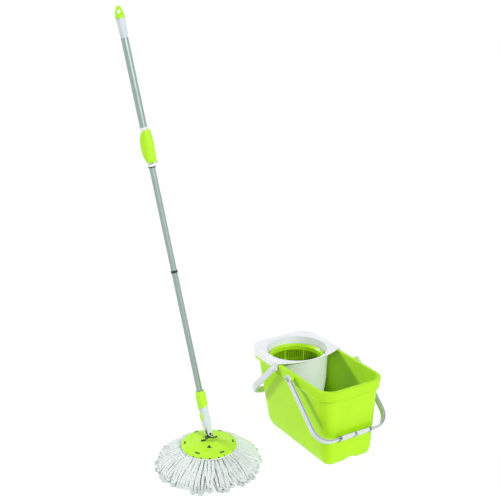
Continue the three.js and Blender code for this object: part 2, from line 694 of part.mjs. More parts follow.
function makeInsert() {
  const plate = new THREE.ExtrudeGeometry(plateShape(), {
    depth: PLATE_TOP - SKIRT_BOTTOM - 2 * INSERT_CHAMFER,
    bevelThickness: INSERT_CHAMFER,
    bevelSize: INSERT_CHAMFER,
    bevelOffset: -INSERT_CHAMFER,
    bevelSegments: 1,
    curveSegments: 2 * CORNER_STEPS,
  }).translate(0, 0, SKIRT_BOTTOM + INSERT_CHAMFER);
  const underPlate = loft([
    lipOutline(SKIRT_BOTTOM - OVERCUT, -RUN_GAP),
    lipOutline(PLATE_BOTTOM, -RUN_GAP),
  ]);
  const tubInset = WALL + WELL_TUB_GAP;
  const wellOuter = keepCommon(
    rod(WELL_RADIUS, WELL_BOTTOM, DISH_BOTTOM, ROUND_STEPS).translate(0, SPIN_Y, 0),
    tubBlock(tubInset, 0, TUB_HEIGHT),
  );
  const wellInner = keepCommon(
    rod(WELL_INNER_RADIUS, WELL_BOTTOM + WELL_WALL, DISH_BOTTOM + OVERCUT, ROUND_STEPS)
      .translate(0, SPIN_Y, 0),
    tubBlock(tubInset + WELL_WALL, 0, TUB_HEIGHT),
  );
  const dishOuter = loft([
    oval(DISH_BOTTOM - WELL_WALL, WELL_RADIUS, WELL_RADIUS),
    oval(PLATE_TOP - INSERT_CHAMFER, DISH_HALF_WIDTH + WELL_WALL, DISH_HALF_LENGTH + WELL_WALL),
  ]);
  const dishInner = loft([
    oval(DISH_BOTTOM, WELL_INNER_RADIUS, WELL_INNER_RADIUS),
    oval(PLATE_TOP, DISH_HALF_WIDTH, DISH_HALF_LENGTH),
    oval(PLATE_TOP + OVERCUT, DISH_HALF_WIDTH, DISH_HALF_LENGTH),
  ]);
  const boss = rod(SPINDLE_BOSS_RADIUS, WELL_BOTTOM, SPINDLE_BOSS_TOP, TUBE_STEPS)
    .translate(0, SPIN_Y, 0);
  const spindleBore = rod(
    SPINDLE_RADIUS + FIT_GAP,
    WELL_BOTTOM + WELL_WALL,
    SPINDLE_BOSS_TOP + OVERCUT,
  ).translate(0, SPIN_Y, 0);
  const drains = aroundZ(DRAIN_HOLE_COUNT, () =>
    rod(DRAIN_HOLE_RADIUS, WELL_BOTTOM - OVERCUT, WELL_BOTTOM + WELL_WALL + OVERCUT)
      .translate(DRAIN_HOLE_CIRCLE, 0, 0),
  ).map((hole) => hole.translate(0, SPIN_Y, 0));
  const vent = rod(VENT_RADIUS, DISH_BOTTOM - WELL_WALL, PLATE_TOP + OVERCUT)
    .translate(DISH_HALF_WIDTH - VENT_RADIUS, 0, 0)
    .rotateZ(VENT_ANGLE)
    .translate(0, SPIN_Y, 0);
  const pinBores = bothSides(
    () => alongX(rod(PIVOT_RADIUS + FIT_GAP, RIM_WIDTH / 2, HANDLE_HALF_SPAN)),
    HANDLE_PIVOT_Y,
    HANDLE_PIVOT_Z,
  );
  const hollow = fuse(wellInner, dishInner);
  const shell = fuse(carve(plate, underPlate), wellOuter, dishOuter);
  return carve(fuse(carve(shell, hollow), boss), spindleBore, ...drains, vent, ...pinBores);
}

// ---------------------------------------------------------------- spinning basket

/** Radius of the outer face of the basket's wall at a height. */
function basketRadius(z) {
  const bottom = BASKET_FLOOR_Z - BASKET_FLOOR;
  const rise = (z - bottom) / (BASKET_RING_TOP - BASKET_RING_DROP - bottom);
  return THREE.MathUtils.lerp(BASKET_FOOT_RADIUS, BASKET_NECK_RADIUS, rise);
}

/** An upright rib along the inside of the basket's wall. */
function basketRib() {
  const bottom = BASKET_FLOOR_Z - BASKET_FLOOR / 2;
  const top = BASKET_RING_TOP - BASKET_RING_DROP;
  const inner = (z) => basketRadius(z) - 2 * BASKET_WALL;
  const outer = (z) => basketRadius(z) - BASKET_WALL / 2;
  const shape = new THREE.Shape([
    new THREE.Vector2(inner(bottom), bottom),
    new THREE.Vector2(outer(bottom), bottom),
    new THREE.Vector2(outer(top), top),
    new THREE.Vector2(inner(top), top),
  ]);
  const rib = new THREE.ExtrudeGeometry(shape, { depth: BASKET_SLOT_WIDTH, bevelEnabled: false });
  return rib.rotateX(QUARTER_TURN).translate(0, BASKET_SLOT_WIDTH / 2, 0);
}

function makeBasket() {
  const floorBottom = BASKET_FLOOR_Z - BASKET_FLOOR;
  const neck = BASKET_RING_TOP - BASKET_RING_DROP;
  const edge = BASKET_RING_DROP / 3;
  const shell = turned(
    [
      [0, floorBottom],
      [BASKET_FOOT_RADIUS, floorBottom],
      [BASKET_NECK_RADIUS, neck],
      [BASKET_RING_RADIUS, neck],
      [BASKET_RING_RADIUS, BASKET_RING_TOP - edge],
      [BASKET_RING_RADIUS - edge, BASKET_RING_TOP],
      [BASKET_NECK_RADIUS + BASKET_WALL, BASKET_RING_TOP],
      [BASKET_NECK_RADIUS - BASKET_WALL, neck],
      [BASKET_FOOT_RADIUS - BASKET_WALL, BASKET_FLOOR_Z],
      [0, BASKET_FLOOR_Z],
    ],
    ROUND_STEPS,
  );
  const hub = rod(HUB_RADIUS, HUB_BOTTOM, HUB_TOP, TUBE_STEPS);
  const bearingSeat = rod(
    BEARING_RADIUS + FIT_GAP,
    HUB_BOTTOM - OVERCUT,
    BEARING_Z + BEARING_HEIGHT + FIT_GAP,
    TUBE_STEPS,
  );
  const bore = rod(SPINDLE_RADIUS + RUN_GAP, HUB_BOTTOM - OVERCUT, HUB_TOP + OVERCUT);
  const ribs = aroundZ(BASKET_RIB_COUNT, basketRib);
  const perRib = BASKET_SLOT_COUNT / BASKET_RIB_COUNT;
  const half = BASKET_SLOT_WIDTH / 2;
  const wallSlots = aroundZ(BASKET_SLOT_COUNT, () =>
    block(
      [BASKET_FOOT_RADIUS - 2 * BASKET_WALL, -half, BASKET_SLOT_BOTTOM],
      [BASKET_RING_RADIUS, half, BASKET_SLOT_TOP],
    ),
  ).filter((_, i) => i % perRib !== 0);
  const floorSlots = aroundZ(FLOOR_SLOT_COUNT, () =>
    block(
      [FLOOR_SLOT_INNER, -FLOOR_SLOT_WIDTH / 2, floorBottom - OVERCUT],
      [FLOOR_SLOT_OUTER, FLOOR_SLOT_WIDTH / 2, BASKET_FLOOR_Z + OVERCUT],
    ),
  );
  return carve(fuse(shell, hub, ...ribs), bearingSeat, bore, ...wallSlots, ...floorSlots);
}

function makeSpindle() {
  const collarTop = SPINDLE_COLLAR_Z + SPINDLE_COLLAR_HEIGHT;
  const top = HUB_CAP_Z + HUB_CAP_HEIGHT - BASKET_WALL - RUN_GAP;
  return turned([
    [0, WELL_BOTTOM + WELL_WALL + FIT_GAP],
    [SPINDLE_RADIUS, WELL_BOTTOM + WELL_WALL + FIT_GAP],
    [SPINDLE_RADIUS, SPINDLE_COLLAR_Z],
    [SPINDLE_COLLAR_RADIUS, SPINDLE_COLLAR_Z],
    [SPINDLE_COLLAR_RADIUS, collarTop],
    [SPINDLE_RADIUS, collarTop],
    [SPINDLE_RADIUS, top],
    [0, top],
  ]);
}

/** The cap that closes the basket's hub over the end of the spindle. */
function makeHubCap() {
  const rim = HUB_CAP_RADIUS - BASKET_WALL;
  const top = HUB_CAP_Z + HUB_CAP_HEIGHT;
  return turned([
    [0, top - BASKET_WALL],
    [rim, top - BASKET_WALL],
    [rim, HUB_CAP_Z],
    [HUB_CAP_RADIUS, HUB_CAP_Z],
    [HUB_CAP_RADIUS, top - BASKET_WALL],
    [rim, top],
    [0, top],
  ]);
}

// ---------------------------------------------------------------- mop head

/** Height of the domed top of the disc at a radius. */
function domeHeight(radius) {
  const beyond = Math.max(0, radius - DISC_FLAT_RADIUS) / (DISC_RADIUS - DISC_FLAT_RADIUS);
  return DISC_CENTRE_TOP - (DISC_CENTRE_TOP - DISC_LIP_TOP) * beyond ** 2;
}

function makeDisc() {
  const lipInner = DISC_RADIUS - DISC_LIP_WALL;
  const steps = [0, 1, 2, 3, 4].map((step) =>
    THREE.MathUtils.lerp(DISC_FLAT_RADIUS, lipInner, step / 4),
  );
  const hubInner = DISC_HUB_RADIUS - DISC_HUB_WALL;
  const underside = DISC_CENTRE_TOP - DISC_WALL;
  const shell = turned(
    [
      [0, underside],
      [hubInner, underside],
      [hubInner, DISC_HUB_BOTTOM],
      [DISC_HUB_RADIUS, DISC_HUB_BOTTOM],
      [DISC_HUB_RADIUS, underside],
      ...steps.map((radius) => [radius, domeHeight(radius) - DISC_WALL]),
      [lipInner, DISC_LIP_BOTTOM],
      [DISC_RADIUS, DISC_LIP_BOTTOM],
      [DISC_RADIUS, DISC_LIP_TOP],
      ...steps.map((radius) => [radius, domeHeight(radius)]).reverse(),
      [0, DISC_CENTRE_TOP],
    ],
    ROUND_STEPS,
  );
  const slots = aroundZ(
    DISC_SLOT_COUNT,
    () =>
      block(
        [DISC_SLOT_CIRCLE - DISC_SLOT_WIDTH / 2, -DISC_SLOT_LENGTH / 2, DISC_LIP_BOTTOM],
        [DISC_SLOT_CIRCLE + DISC_SLOT_WIDTH / 2, DISC_SLOT_LENGTH / 2, DISC_CENTRE_TOP],
      ),
    HALF_TURN / DISC_SLOT_COUNT,
  );
  const notches = aroundZ(DISC_NOTCH_COUNT, () =>
    block(
      [lipInner - OVERCUT, -DISC_NOTCH_WIDTH / 2, DISC_LIP_BOTTOM - OVERCUT],
      [DISC_RADIUS + OVERCUT, DISC_NOTCH_WIDTH / 2, DISC_LIP_BOTTOM + DISC_NOTCH_HEIGHT],
    ),
  );
  const screwBores = [-1, 1].map((side) =>
    rod(SCREW_RADIUS + FIT_GAP, underside - OVERCUT, DISC_CENTRE_TOP + OVERCUT)
      .translate(side * BRACKET_SCREW_X, 0, 0),
  );
  return carve(shell, ...slots, ...notches, ...screwBores);
}

/** The yarn of the refill, spread over the floor under its own weight. */
function makeYarn() {
  const outerTop = DISC_LIP_BOTTOM - RUN_GAP;
  const collar = DISC_RADIUS - FIT_GAP;
  const drop = (share, height) => [
    THREE.MathUtils.lerp(DISC_RADIUS, YARN_SPREAD_RADIUS, share),
    outerTop * height,
  ];
  return turned(
    [
      [YARN_INNER_RADIUS, 0],
      drop(0.94, 0),
      drop(1, 0.1),
      drop(0.97, 0.28),
      drop(0.75, 0.55),
      drop(0.4, 0.85),
      drop(0.08, 1),
      [collar, outerTop],
      [collar, YARN_TOP],
      [YARN_INNER_RADIUS, YARN_TOP],
      [YARN_INNER_RADIUS, 0],
    ],
    ROUND_STEPS,
  );
}

/** A plate with a round end about the origin, in the YZ plane and extruded along X. */
function lugAlongX(width, length, thickness, direction) {
  const radius = width / 2;
  const shape = new THREE.Shape();
  if (direction > 0) {
    shape.absarc(0, 0, radius, HALF_TURN, 2 * HALF_TURN);
    shape.lineTo(radius, length);
    shape.lineTo(-radius, length);
  } else {
    shape.absarc(0, 0, radius, 0, HALF_TURN);
    shape.lineTo(-radius, -length);
    shape.lineTo(radius, -length);
  }
  const lug = new THREE.ExtrudeGeometry(shape, {
    depth: thickness,
    bevelEnabled: false,
    curveSegments: PIN_STEPS / 2,
  });
  return lug.rotateX(QUARTER_TURN).rotateZ(QUARTER_TURN);
}

const lugAlongY = (...sizes) => lugAlongX(...sizes).rotateZ(QUARTER_TURN);

function makeBracket() {
  const strap = block(
    [-BRACKET_LENGTH / 2, -BRACKET_WIDTH / 2, BRACKET_Z],
    [BRACKET_LENGTH / 2, BRACKET_WIDTH / 2, BRACKET_TOP],
  );
  const ears = [EAR_INNER, -EAR_OUTER].map((x) =>
    lugAlongX(BRACKET_WIDTH, TILT_PIN_Z - BRACKET_TOP + BRACKET_STEEL / 2, BRACKET_STEEL, -1)
      .translate(x, 0, TILT_PIN_Z),
  );
  const pinBore = alongX(rod(YOKE_PIN_RADIUS + FIT_GAP, -EAR_OUTER - OVERCUT, EAR_OUTER + OVERCUT))
    .translate(0, 0, TILT_PIN_Z);
  const screwBores = [-1, 1].map((side) =>
    rod(SCREW_RADIUS + FIT_GAP, BRACKET_Z - OVERCUT, BRACKET_TOP + OVERCUT)
      .translate(side * BRACKET_SCREW_X, 0, 0),
  );
  return carve(fuse(strap, ...ears), pinBore, ...screwBores);
}

/** A pin with a head at both ends, along Z and centred on the origin. */
function rivet(grip) {
  const end = grip + YOKE_PIN_HEAD;
  return turned([
    [0, -end],
    [YOKE_PIN_HEAD_RADIUS, -end],
    [YOKE_PIN_HEAD_RADIUS, -grip],
    [YOKE_PIN_RADIUS, -grip],
    [YOKE_PIN_RADIUS, grip],
    [YOKE_PIN_HEAD_RADIUS, grip],
    [YOKE_PIN_HEAD_RADIUS, end],
    [0, end],
  ], PIN_STEPS);
}

/** A screw through the bracket into the disc. */
function makeScrew() {
  const seat = BRACKET_TOP + FIT_GAP;
  return turned([
    [0, seat - SCREW_LENGTH],
    [SCREW_RADIUS, seat - SCREW_LENGTH],
    [SCREW_RADIUS, seat],
    [SCREW_HEAD_RADIUS, seat],
    [SCREW_RADIUS, seat + SCREW_HEAD],
    [0, seat + SCREW_HEAD],
  ], PIN_STEPS);
}

/** The block between the two crossed pins, rounded about each of them. */
function makeYoke() {
  const half = YOKE_SIZE / 2;
  const lower = lugAlongX(YOKE_SIZE, PIN_SPACING + half, YOKE_SIZE, 1).translate(-half, 0, 0);
  const upper = lugAlongY(YOKE_SIZE, PIN_SPACING + half, YOKE_SIZE, -1)
    .translate(0, -half, PIN_SPACING);
  const reach = half + OVERCUT;
  const bore = () => rod(YOKE_PIN_RADIUS + FIT_GAP, -reach, reach);
  return carve(
    keepCommon(lower, upper),
    alongX(bore()),
    alongY(bore()).translate(0, 0, PIN_SPACING),
  );
}

// ---------------------------------------------------------------- lower half of the pole

function makeForkSleeve() {
  const body = turned([
    [0, FORK_BODY_BOTTOM],
    [FORK_TIP_RADIUS, FORK_BODY_BOTTOM],
    [FORK_SHOULDER_RADIUS, FORK_BODY_SHOULDER],
    [FORK_TOP_RADIUS, FORK_BODY_TOP],
    [LOWER_TUBE_RADIUS + FIT_GAP, FORK_BODY_TOP],
    [LOWER_TUBE_RADIUS + FIT_GAP, TUBE_SEAT],
    [0, TUBE_SEAT],
  ]);
  const inner = YOKE_SIZE / 2 + FIT_GAP;
  const cheeks = [inner, -inner - FORK_CHEEK].map((y) =>
    lugAlongY(FORK_CHEEK_WIDTH, FORK_CHEEK_TOP, FORK_CHEEK, 1).translate(0, y, 0),
  );
  const reach = inner + FORK_CHEEK + OVERCUT;
  const pinBore = alongY(rod(YOKE_PIN_RADIUS + FIT_GAP, -reach, reach));
  const half = BUTTON_WIDTH / 2 + FIT_GAP;
  const pocket = block(
    [BUTTON_INNER - BUTTON_TRAVEL - FIT_GAP, -half, BUTTON_BOTTOM - FIT_GAP],
    [BUTTON_OUTER + OVERCUT, half, BUTTON_TOP + FIT_GAP],
  ).rotateZ(BUTTON_TURN);
  return carve(fuse(body, ...cheeks), pinBore, pocket);
}

/** The clip sleeve that locks the tube into the fork sleeve, with its slanted lower edge. */
function makeClipSleeve() {
  const seat = FORK_BODY_TOP + FIT_GAP;
  const sleeve = turned([
    [FORK_TOP_RADIUS + FIT_GAP, CLIP_BOTTOM],
    [CLIP_RADIUS, CLIP_BOTTOM],
    [CLIP_RADIUS, CLIP_TOP - CLIP_NECK_HEIGHT],
    [CLIP_NECK_RADIUS, CLIP_TOP],
    [LOWER_TUBE_RADIUS + FIT_GAP, CLIP_TOP],
    [LOWER_TUBE_RADIUS + FIT_GAP, seat],
    [FORK_TOP_RADIUS + FIT_GAP, seat],
    [FORK_TOP_RADIUS + FIT_GAP, CLIP_BOTTOM],
  ]);
  const wide = 2 * CLIP_RADIUS;
  const slant = block([-wide, -wide, -wide], [wide, wide, 0])
    .rotateY(-Math.atan2(CLIP_SLANT, wide))
    .rotateZ(CLIP_TURN)
    .translate(0, 0, CLIP_BOTTOM + CLIP_SLANT / 2);
  return carve(sleeve, slant);
}

function makeButton() {
  const half = BUTTON_WIDTH / 2;
  const edge = (BUTTON_OUTER - BUTTON_INNER) / 4;
  const shape = new THREE.Shape([
    new THREE.Vector2(BUTTON_INNER, BUTTON_BOTTOM),
    new THREE.Vector2(BUTTON_OUTER - edge, BUTTON_BOTTOM),
    new THREE.Vector2(BUTTON_OUTER, BUTTON_BOTTOM + edge),
    new THREE.Vector2(BUTTON_OUTER, BUTTON_TOP - edge),
    new THREE.Vector2(BUTTON_OUTER - edge, BUTTON_TOP),
    new THREE.Vector2(BUTTON_INNER, BUTTON_TOP),
  ]);
  const button = new THREE.ExtrudeGeometry(shape, { depth: BUTTON_WIDTH, bevelEnabled: false });
  return button.rotateX(QUARTER_TURN).translate(0, half, 0);
}

/** The connector inside the joint of the two lower tubes, bored for the snap button. */
function makeJointPlug() {
  const plug = ring(
    PLUG_RADIUS - JOINT_PLUG_WALL,
    PLUG_RADIUS,
    JOINT_RING_BOTTOM - JOINT_PLUG_REACH,
    JOINT_RING_TOP + JOINT_PLUG_REACH,
  );
  return carve(plug, snapBore());
}

/** The hole that the snap button stands in, from the axis of the tube outwards. */
function snapBore() {
  return alongX(rod(SNAP_RADIUS + FIT_GAP, 0, 2 * LOWER_TUBE_RADIUS))
    .rotateZ(SNAP_TURN)
    .translate(0, 0, SNAP_Z);
}

function makeSnapButton() {
  const footRoom = Math.sqrt((PLUG_RADIUS - JOINT_PLUG_WALL) ** 2 - SNAP_FOOT_RADIUS ** 2);
  const shoulder = footRoom - FIT_GAP;
  const tip = LOWER_TUBE_RADIUS + SNAP_PROUD;
  const round = SNAP_PROUD / 2;
  return alongX(turned([
    [0, shoulder - SNAP_FOOT_HEIGHT],
    [SNAP_FOOT_RADIUS, shoulder - SNAP_FOOT_HEIGHT],
    [SNAP_FOOT_RADIUS, shoulder],
    [SNAP_RADIUS, shoulder],
    [SNAP_RADIUS, tip - round],
    [SNAP_RADIUS - round, tip],
    [0, tip],
  ], PIN_STEPS));
}

/** The bush at the top of the lower pole that the twisted bar runs through. */
function makeDriveNut() {
  const flange = UPPER_BORE - FIT_GAP;
  return turned([
    [NUT_RADIUS - NUT_WALL, NUT_SEAT - NUT_SHANK],
    [NUT_RADIUS, NUT_SEAT - NUT_SHANK],
    [NUT_RADIUS, NUT_SEAT],
    [flange, NUT_SEAT],
    [flange, NUT_SEAT + NUT_FLANGE],
    [NUT_RADIUS - NUT_WALL, NUT_SEAT + NUT_FLANGE],
    [NUT_RADIUS - NUT_WALL, NUT_SEAT - NUT_SHANK],
  ]);
}

// ---------------------------------------------------------------- upper half of the pole

function makeLockBody() {
  const bore = LOWER_TUBE_RADIUS + RUN_GAP;
  const socket = UPPER_TUBE_RADIUS + FIT_GAP;
  const taper = LOCK_RADIUS - LOCK_COLLAR_RADIUS;
  const collar = LOCK_TOP - LOCK_COLLAR_HEIGHT;
  const body = turned([
    [bore, LOCK_BOTTOM],
    [LOCK_COLLAR_RADIUS, LOCK_BOTTOM],
    [LOCK_RADIUS, LOCK_BOTTOM + taper],
    [LOCK_RADIUS, collar - taper],
    [LOCK_COLLAR_RADIUS, collar],
    [LOCK_COLLAR_RADIUS, LOCK_TOP],
    [socket, LOCK_TOP],
    [socket, LOCK_SOCKET_Z],
    [bore, LOCK_SOCKET_Z],
    [bore, LOCK_BOTTOM],
  ]);
  const half = LUG_WIDTH / 2;
  const lug = block([bore + FIT_GAP, -half, LUG_BOTTOM], [LUG_REACH, half, LUG_TOP])
    .rotateZ(LEVER_TURN);
  return carve(fuse(body, lug), leverPinBore());
}

/** The hole for the lever's pin, across the lock. */
function leverPinBore() {
  const reach = LEVER_HALF_WIDTH + OVERCUT;
  return alongY(rod(LEVER_PIN_RADIUS + FIT_GAP, -reach, reach))
    .translate(LEVER_PIN_X, 0, LEVER_PIN_Z)
    .rotateZ(LEVER_TURN);
}

/** The lever's own shape with its pin at the origin and the lock's axis at -LEVER_PIN_X. */
function makeLever() {
  const barrel = turned(
    [
      [0, LEVER_BOTTOM],
      [LEVER_FOOT_RADIUS, LEVER_BOTTOM],
      [LEVER_END_RADIUS, LEVER_PIN_Z],
      [LEVER_BULGE_RADIUS, LEVER_MIDDLE],
      [LEVER_END_RADIUS, LEVER_TOP],
      [0, LEVER_TOP],
    ],
    ROUND_STEPS,
  );
  const side = new THREE.Shape([
    new THREE.Vector2(LEVER_PIN_X / 2, LEVER_BOTTOM),
    new THREE.Vector2(LEVER_BULGE_RADIUS, LEVER_BOTTOM),
    new THREE.Vector2(LEVER_BULGE_RADIUS, LEVER_TOP),
    new THREE.Vector2(LEVER_PIN_X / 3, LEVER_TOP),
    new THREE.Vector2(LEVER_REAR, LEVER_MIDDLE),
  ]);
  const profile = new THREE.ExtrudeGeometry(side, {
    depth: 2 * LEVER_HALF_WIDTH,
    bevelEnabled: false,
  })
    .rotateX(QUARTER_TURN)
    .translate(0, LEVER_HALF_WIDTH, 0);
  const far = 2 * LEVER_BULGE_RADIUS;
  const bottom = LEVER_BOTTOM - OVERCUT;
  const top = LEVER_TOP + OVERCUT;
  const cavity = rod(LEVER_CAVITY, bottom, top, TUBE_STEPS);
  const rear = block([-far, -LEVER_CAVITY, bottom], [0, LEVER_CAVITY, top]);
  const mouth = block([0, -LEVER_CAVITY, bottom], [far, LEVER_CAVITY, LEVER_WEB_BOTTOM]);
  const bore = leverPinBore().rotateZ(-LEVER_TURN);
  return carve(keepCommon(barrel, profile), cavity, rear, mouth, bore)
    .translate(-LEVER_PIN_X, 0, -LEVER_PIN_Z);
}

/** The white end piece: a spigot in the tube, a flared collar and a socket for the twisted bar. */
function makeEndSleeve() {
  const spigot = UPPER_BORE - FIT_GAP;
  const seat = UPPER_TUBE_TOP + FIT_GAP;
  return turned([
    [0, SPINDLE_SOCKET_TOP],
    [SPINDLE_SOCKET_RADIUS, SPINDLE_SOCKET_TOP],
    [SPINDLE_SOCKET_RADIUS, UPPER_TUBE_TOP - END_SPIGOT_LENGTH],
    [spigot, UPPER_TUBE_TOP - END_SPIGOT_LENGTH],
    [spigot, seat],
    [UPPER_TUBE_RADIUS + FIT_GAP, seat],
    [END_SLEEVE_RADIUS, END_SLEEVE_TOP],
    [CAP_SPIGOT_RADIUS, END_SLEEVE_TOP],
    [CAP_SPIGOT_RADIUS, END_SLEEVE_TOP + CAP_SPIGOT_HEIGHT],
    [0, END_SLEEVE_TOP + CAP_SPIGOT_HEIGHT],
  ]);
}

/** The flat bar twisted to the lead that turns the head as the handle is pushed down. */
function makeTwistedBar() {
  const height = UPPER_TUBE_TOP - SPINDLE_BAR_BOTTOM;
  const x = SPINDLE_BAR_WIDTH / 2;
  const y = SPINDLE_BAR_THICKNESS / 2;
  const levels = [];
  for (let step = 0; step <= SPINDLE_BAR_STEPS; step += 1) {
    const rise = (height * step) / SPINDLE_BAR_STEPS;
    const angle = (2 * HALF_TURN * rise) / SPINDLE_LEAD;
    const corners = [[-x, -y], [x, -y], [x, y], [-x, y]];
    const points = corners.map(([px, py]) =>
      new THREE.Vector2(px, py).rotateAround(new THREE.Vector2(), angle),
    );
    levels.push({ z: SPINDLE_BAR_BOTTOM + rise, points });
  }
  return loft(levels);
}

/** The hanging cap: round at its foot and flattened above it around the eyelet. */
function makeHangerCap() {
  const seat = END_SLEEVE_TOP + FIT_GAP;
  const round = CAP_TOP_RADIUS / 2;
  const body = turned([
    [0, seat],
    [CAP_BASE_RADIUS, seat],
    [CAP_SHOULDER_RADIUS, EYELET_Z],
    [CAP_TOP_RADIUS, CAP_TOP - round],
    [round, CAP_TOP],
    [0, CAP_TOP],
  ]);
  const wide = 2 * CAP_BASE_RADIUS;
  const shoulder = EYELET_Z - CAP_SHOULDER_RADIUS;
  const flats = [[-wide, -CAP_THICKNESS / 2], [CAP_THICKNESS / 2, wide]].map(([y0, y1]) =>
    block([-wide, y0, shoulder], [wide, y1, CAP_TOP + OVERCUT]).rotateZ(CAP_TURN),
  );
  const eyelet = alongY(rod(EYELET_RADIUS, -wide, wide, TUBE_STEPS))
    .translate(0, 0, EYELET_Z)
    .rotateZ(CAP_TURN);
  const socket = rod(
    CAP_SPIGOT_RADIUS + FIT_GAP,
    seat - OVERCUT,
    END_SLEEVE_TOP + CAP_SPIGOT_HEIGHT + FIT_GAP,
    TUBE_STEPS,
  );
  return carve(body, ...flats, eyelet, socket);
}

// ---------------------------------------------------------------- the scene

const bailSeat = BAIL_HALF_SPAN - STRAP_THICKNESS / 2 - PIVOT_SEAT_DEPTH;
const handleSeat = RIM_WIDTH / 2 + RUN_GAP + FIT_GAP;

const bailPins = ['bail_pin_left', 'bail_pin_right'].map((name, i) => {
  const pin = pivotPin(bailSeat, BAIL_HALF_SPAN).rotateZ(HALF_TURN * (1 - i));
  const mesh = piece(name, pin, BRIGHT_STEEL);
  mesh.position.set(0, BAIL_PIVOT_Y, BAIL_PIVOT_Z);
  return mesh;
});

const gripPitch = GRIP_RING_WIDTH + GRIP_SLEEVE_WIDTH + 2 * FIT_GAP;
const frontBail = assembly(
  [
    piece('front_bail', strapHandle(BAIL_HALF_SPAN, BAIL_REACH, BAIL_CORNER, -1), WHITE),
    piece('grip_ring_left', gripPiece(-gripPitch, GRIP_RING_WIDTH, GRIP_RING_PROUD), DARK),
    piece('grip_sleeve_left', gripPiece(-gripPitch / 2, GRIP_SLEEVE_WIDTH, 0), WHITE),
    piece('grip_ring_middle', gripPiece(0, GRIP_RING_WIDTH, GRIP_RING_PROUD), DARK),
    piece('grip_sleeve_right', gripPiece(gripPitch / 2, GRIP_SLEEVE_WIDTH, 0), WHITE),
    piece('grip_ring_right', gripPiece(gripPitch, GRIP_RING_WIDTH, GRIP_RING_PROUD), DARK),
  ],
  { position: [0, BAIL_PIVOT_Y, BAIL_PIVOT_Z], rotation: [BAIL_HANG, 0, 0] },
);

const handlePins = ['handle_pin_left', 'handle_pin_right'].map((name, i) => {
  const pin = pivotPin(handleSeat, HANDLE_HALF_SPAN).rotateZ(HALF_TURN * (1 - i));
  const mesh = piece(name, pin, WHITE);
  mesh.position.set(0, HANDLE_PIVOT_Y, HANDLE_PIVOT_Z);
  return mesh;
});

const rearHandle = assembly(
  [piece('rear_handle', strapHandle(HANDLE_HALF_SPAN, HANDLE_REACH, HANDLE_CORNER, 1), WHITE)],
  { position: [0, HANDLE_PIVOT_Y, HANDLE_PIVOT_Z], rotation: [-HANDLE_HANG, 0, 0] },
);

const nutHeight = HUB_CAP_HEIGHT - BASKET_WALL - 2 * RUN_GAP;
const spinning = assembly(
  [
    piece('spindle', makeSpindle(), BRIGHT_STEEL),
    piece(
      'basket_bearing',
      ring(SPINDLE_RADIUS + FIT_GAP, BEARING_RADIUS, BEARING_Z, BEARING_Z + BEARING_HEIGHT),
      STEEL,
    ),
    piece(
      'spindle_ring',
      ring(
        SPINDLE_RADIUS + FIT_GAP,
        SPINDLE_COLLAR_RADIUS,
        HUB_CAP_Z + FIT_GAP,
        HUB_CAP_Z + FIT_GAP + nutHeight,
      ),
      STEEL,
    ),
    piece('basket', makeBasket(), LIME),
    piece('basket_hub_cap', makeHubCap(), WHITE),
  ],
  { position: [0, SPIN_Y, 0] },
);

const screws = ['bracket_screw_left', 'bracket_screw_right'].map((name, i) => {
  const mesh = piece(name, makeScrew(), DARK);
  mesh.position.x = (2 * i - 1) * BRACKET_SCREW_X;
  return mesh;
});

const button = assembly([piece('release_button', makeButton(), MOP_LIME)], {
  rotation: [0, 0, BUTTON_TURN],
});
const snapButton = assembly([piece('snap_button', makeSnapButton(), STEEL)], {
  position: [0, 0, SNAP_Z],
  rotation: [0, 0, SNAP_TURN],
});

const leverPin = piece(
  'lever_pin',
  alongY(rod(LEVER_PIN_RADIUS, FIT_GAP - LEVER_HALF_WIDTH, LEVER_HALF_WIDTH - FIT_GAP)),
  BRIGHT_STEEL,
);
const lever = piece('lock_lever', makeLever(), MOP_LIME);
const lock = assembly(
  [assembly([lever, leverPin], { position: [LEVER_PIN_X, 0, LEVER_PIN_Z] })],
  { rotation: [0, 0, LEVER_TURN] },
);

const lowerPole = [
  piece('fork_sleeve', makeForkSleeve(), WHITE),
  piece(
    'fork_pin',
    alongY(rivet(YOKE_SIZE / 2 + FORK_CHEEK + 2 * FIT_GAP)),
    BRIGHT_STEEL,
  ),
  piece('clip_sleeve', makeClipSleeve(), MOP_LIME),
  button,
  piece(
    'lower_tube',
    ring(LOWER_BORE, LOWER_TUBE_RADIUS, TUBE_SEAT + FIT_GAP, JOINT_RING_BOTTOM - FIT_GAP),
    STEEL,
  ),
  piece(
    'joint_ring',
    ring(LOWER_BORE, JOINT_RING_RADIUS, JOINT_RING_BOTTOM, JOINT_RING_TOP),
    DARK,
  ),
  piece('joint_plug', makeJointPlug(), DARK),
  piece(
    'middle_tube',
    carve(
      ring(LOWER_BORE, LOWER_TUBE_RADIUS, JOINT_RING_TOP + FIT_GAP, LOWER_POLE_TOP),
      snapBore(),
    ),
    STEEL,
  ),
  snapButton,
  piece('drive_nut', makeDriveNut(), DARK),
];

const upperPole = [
  piece(
    'wiper_ring',
    ring(
      LOWER_TUBE_RADIUS + FIT_GAP,
      WIPER_RADIUS,
      LOCK_BOTTOM - FIT_GAP - WIPER_HEIGHT,
      LOCK_BOTTOM - FIT_GAP,
    ),
    DARK,
  ),
  piece('lock_body', makeLockBody(), WHITE),
  lock,
  piece(
    'upper_tube',
    ring(UPPER_BORE, UPPER_TUBE_RADIUS, LOCK_SOCKET_Z + FIT_GAP, UPPER_TUBE_TOP),
    STEEL,
  ),
  piece('twisted_bar', makeTwistedBar(), BRIGHT_STEEL),
  piece('end_sleeve', makeEndSleeve(), WHITE),
  piece('hanger_cap', makeHangerCap(), MOP_LIME),
];

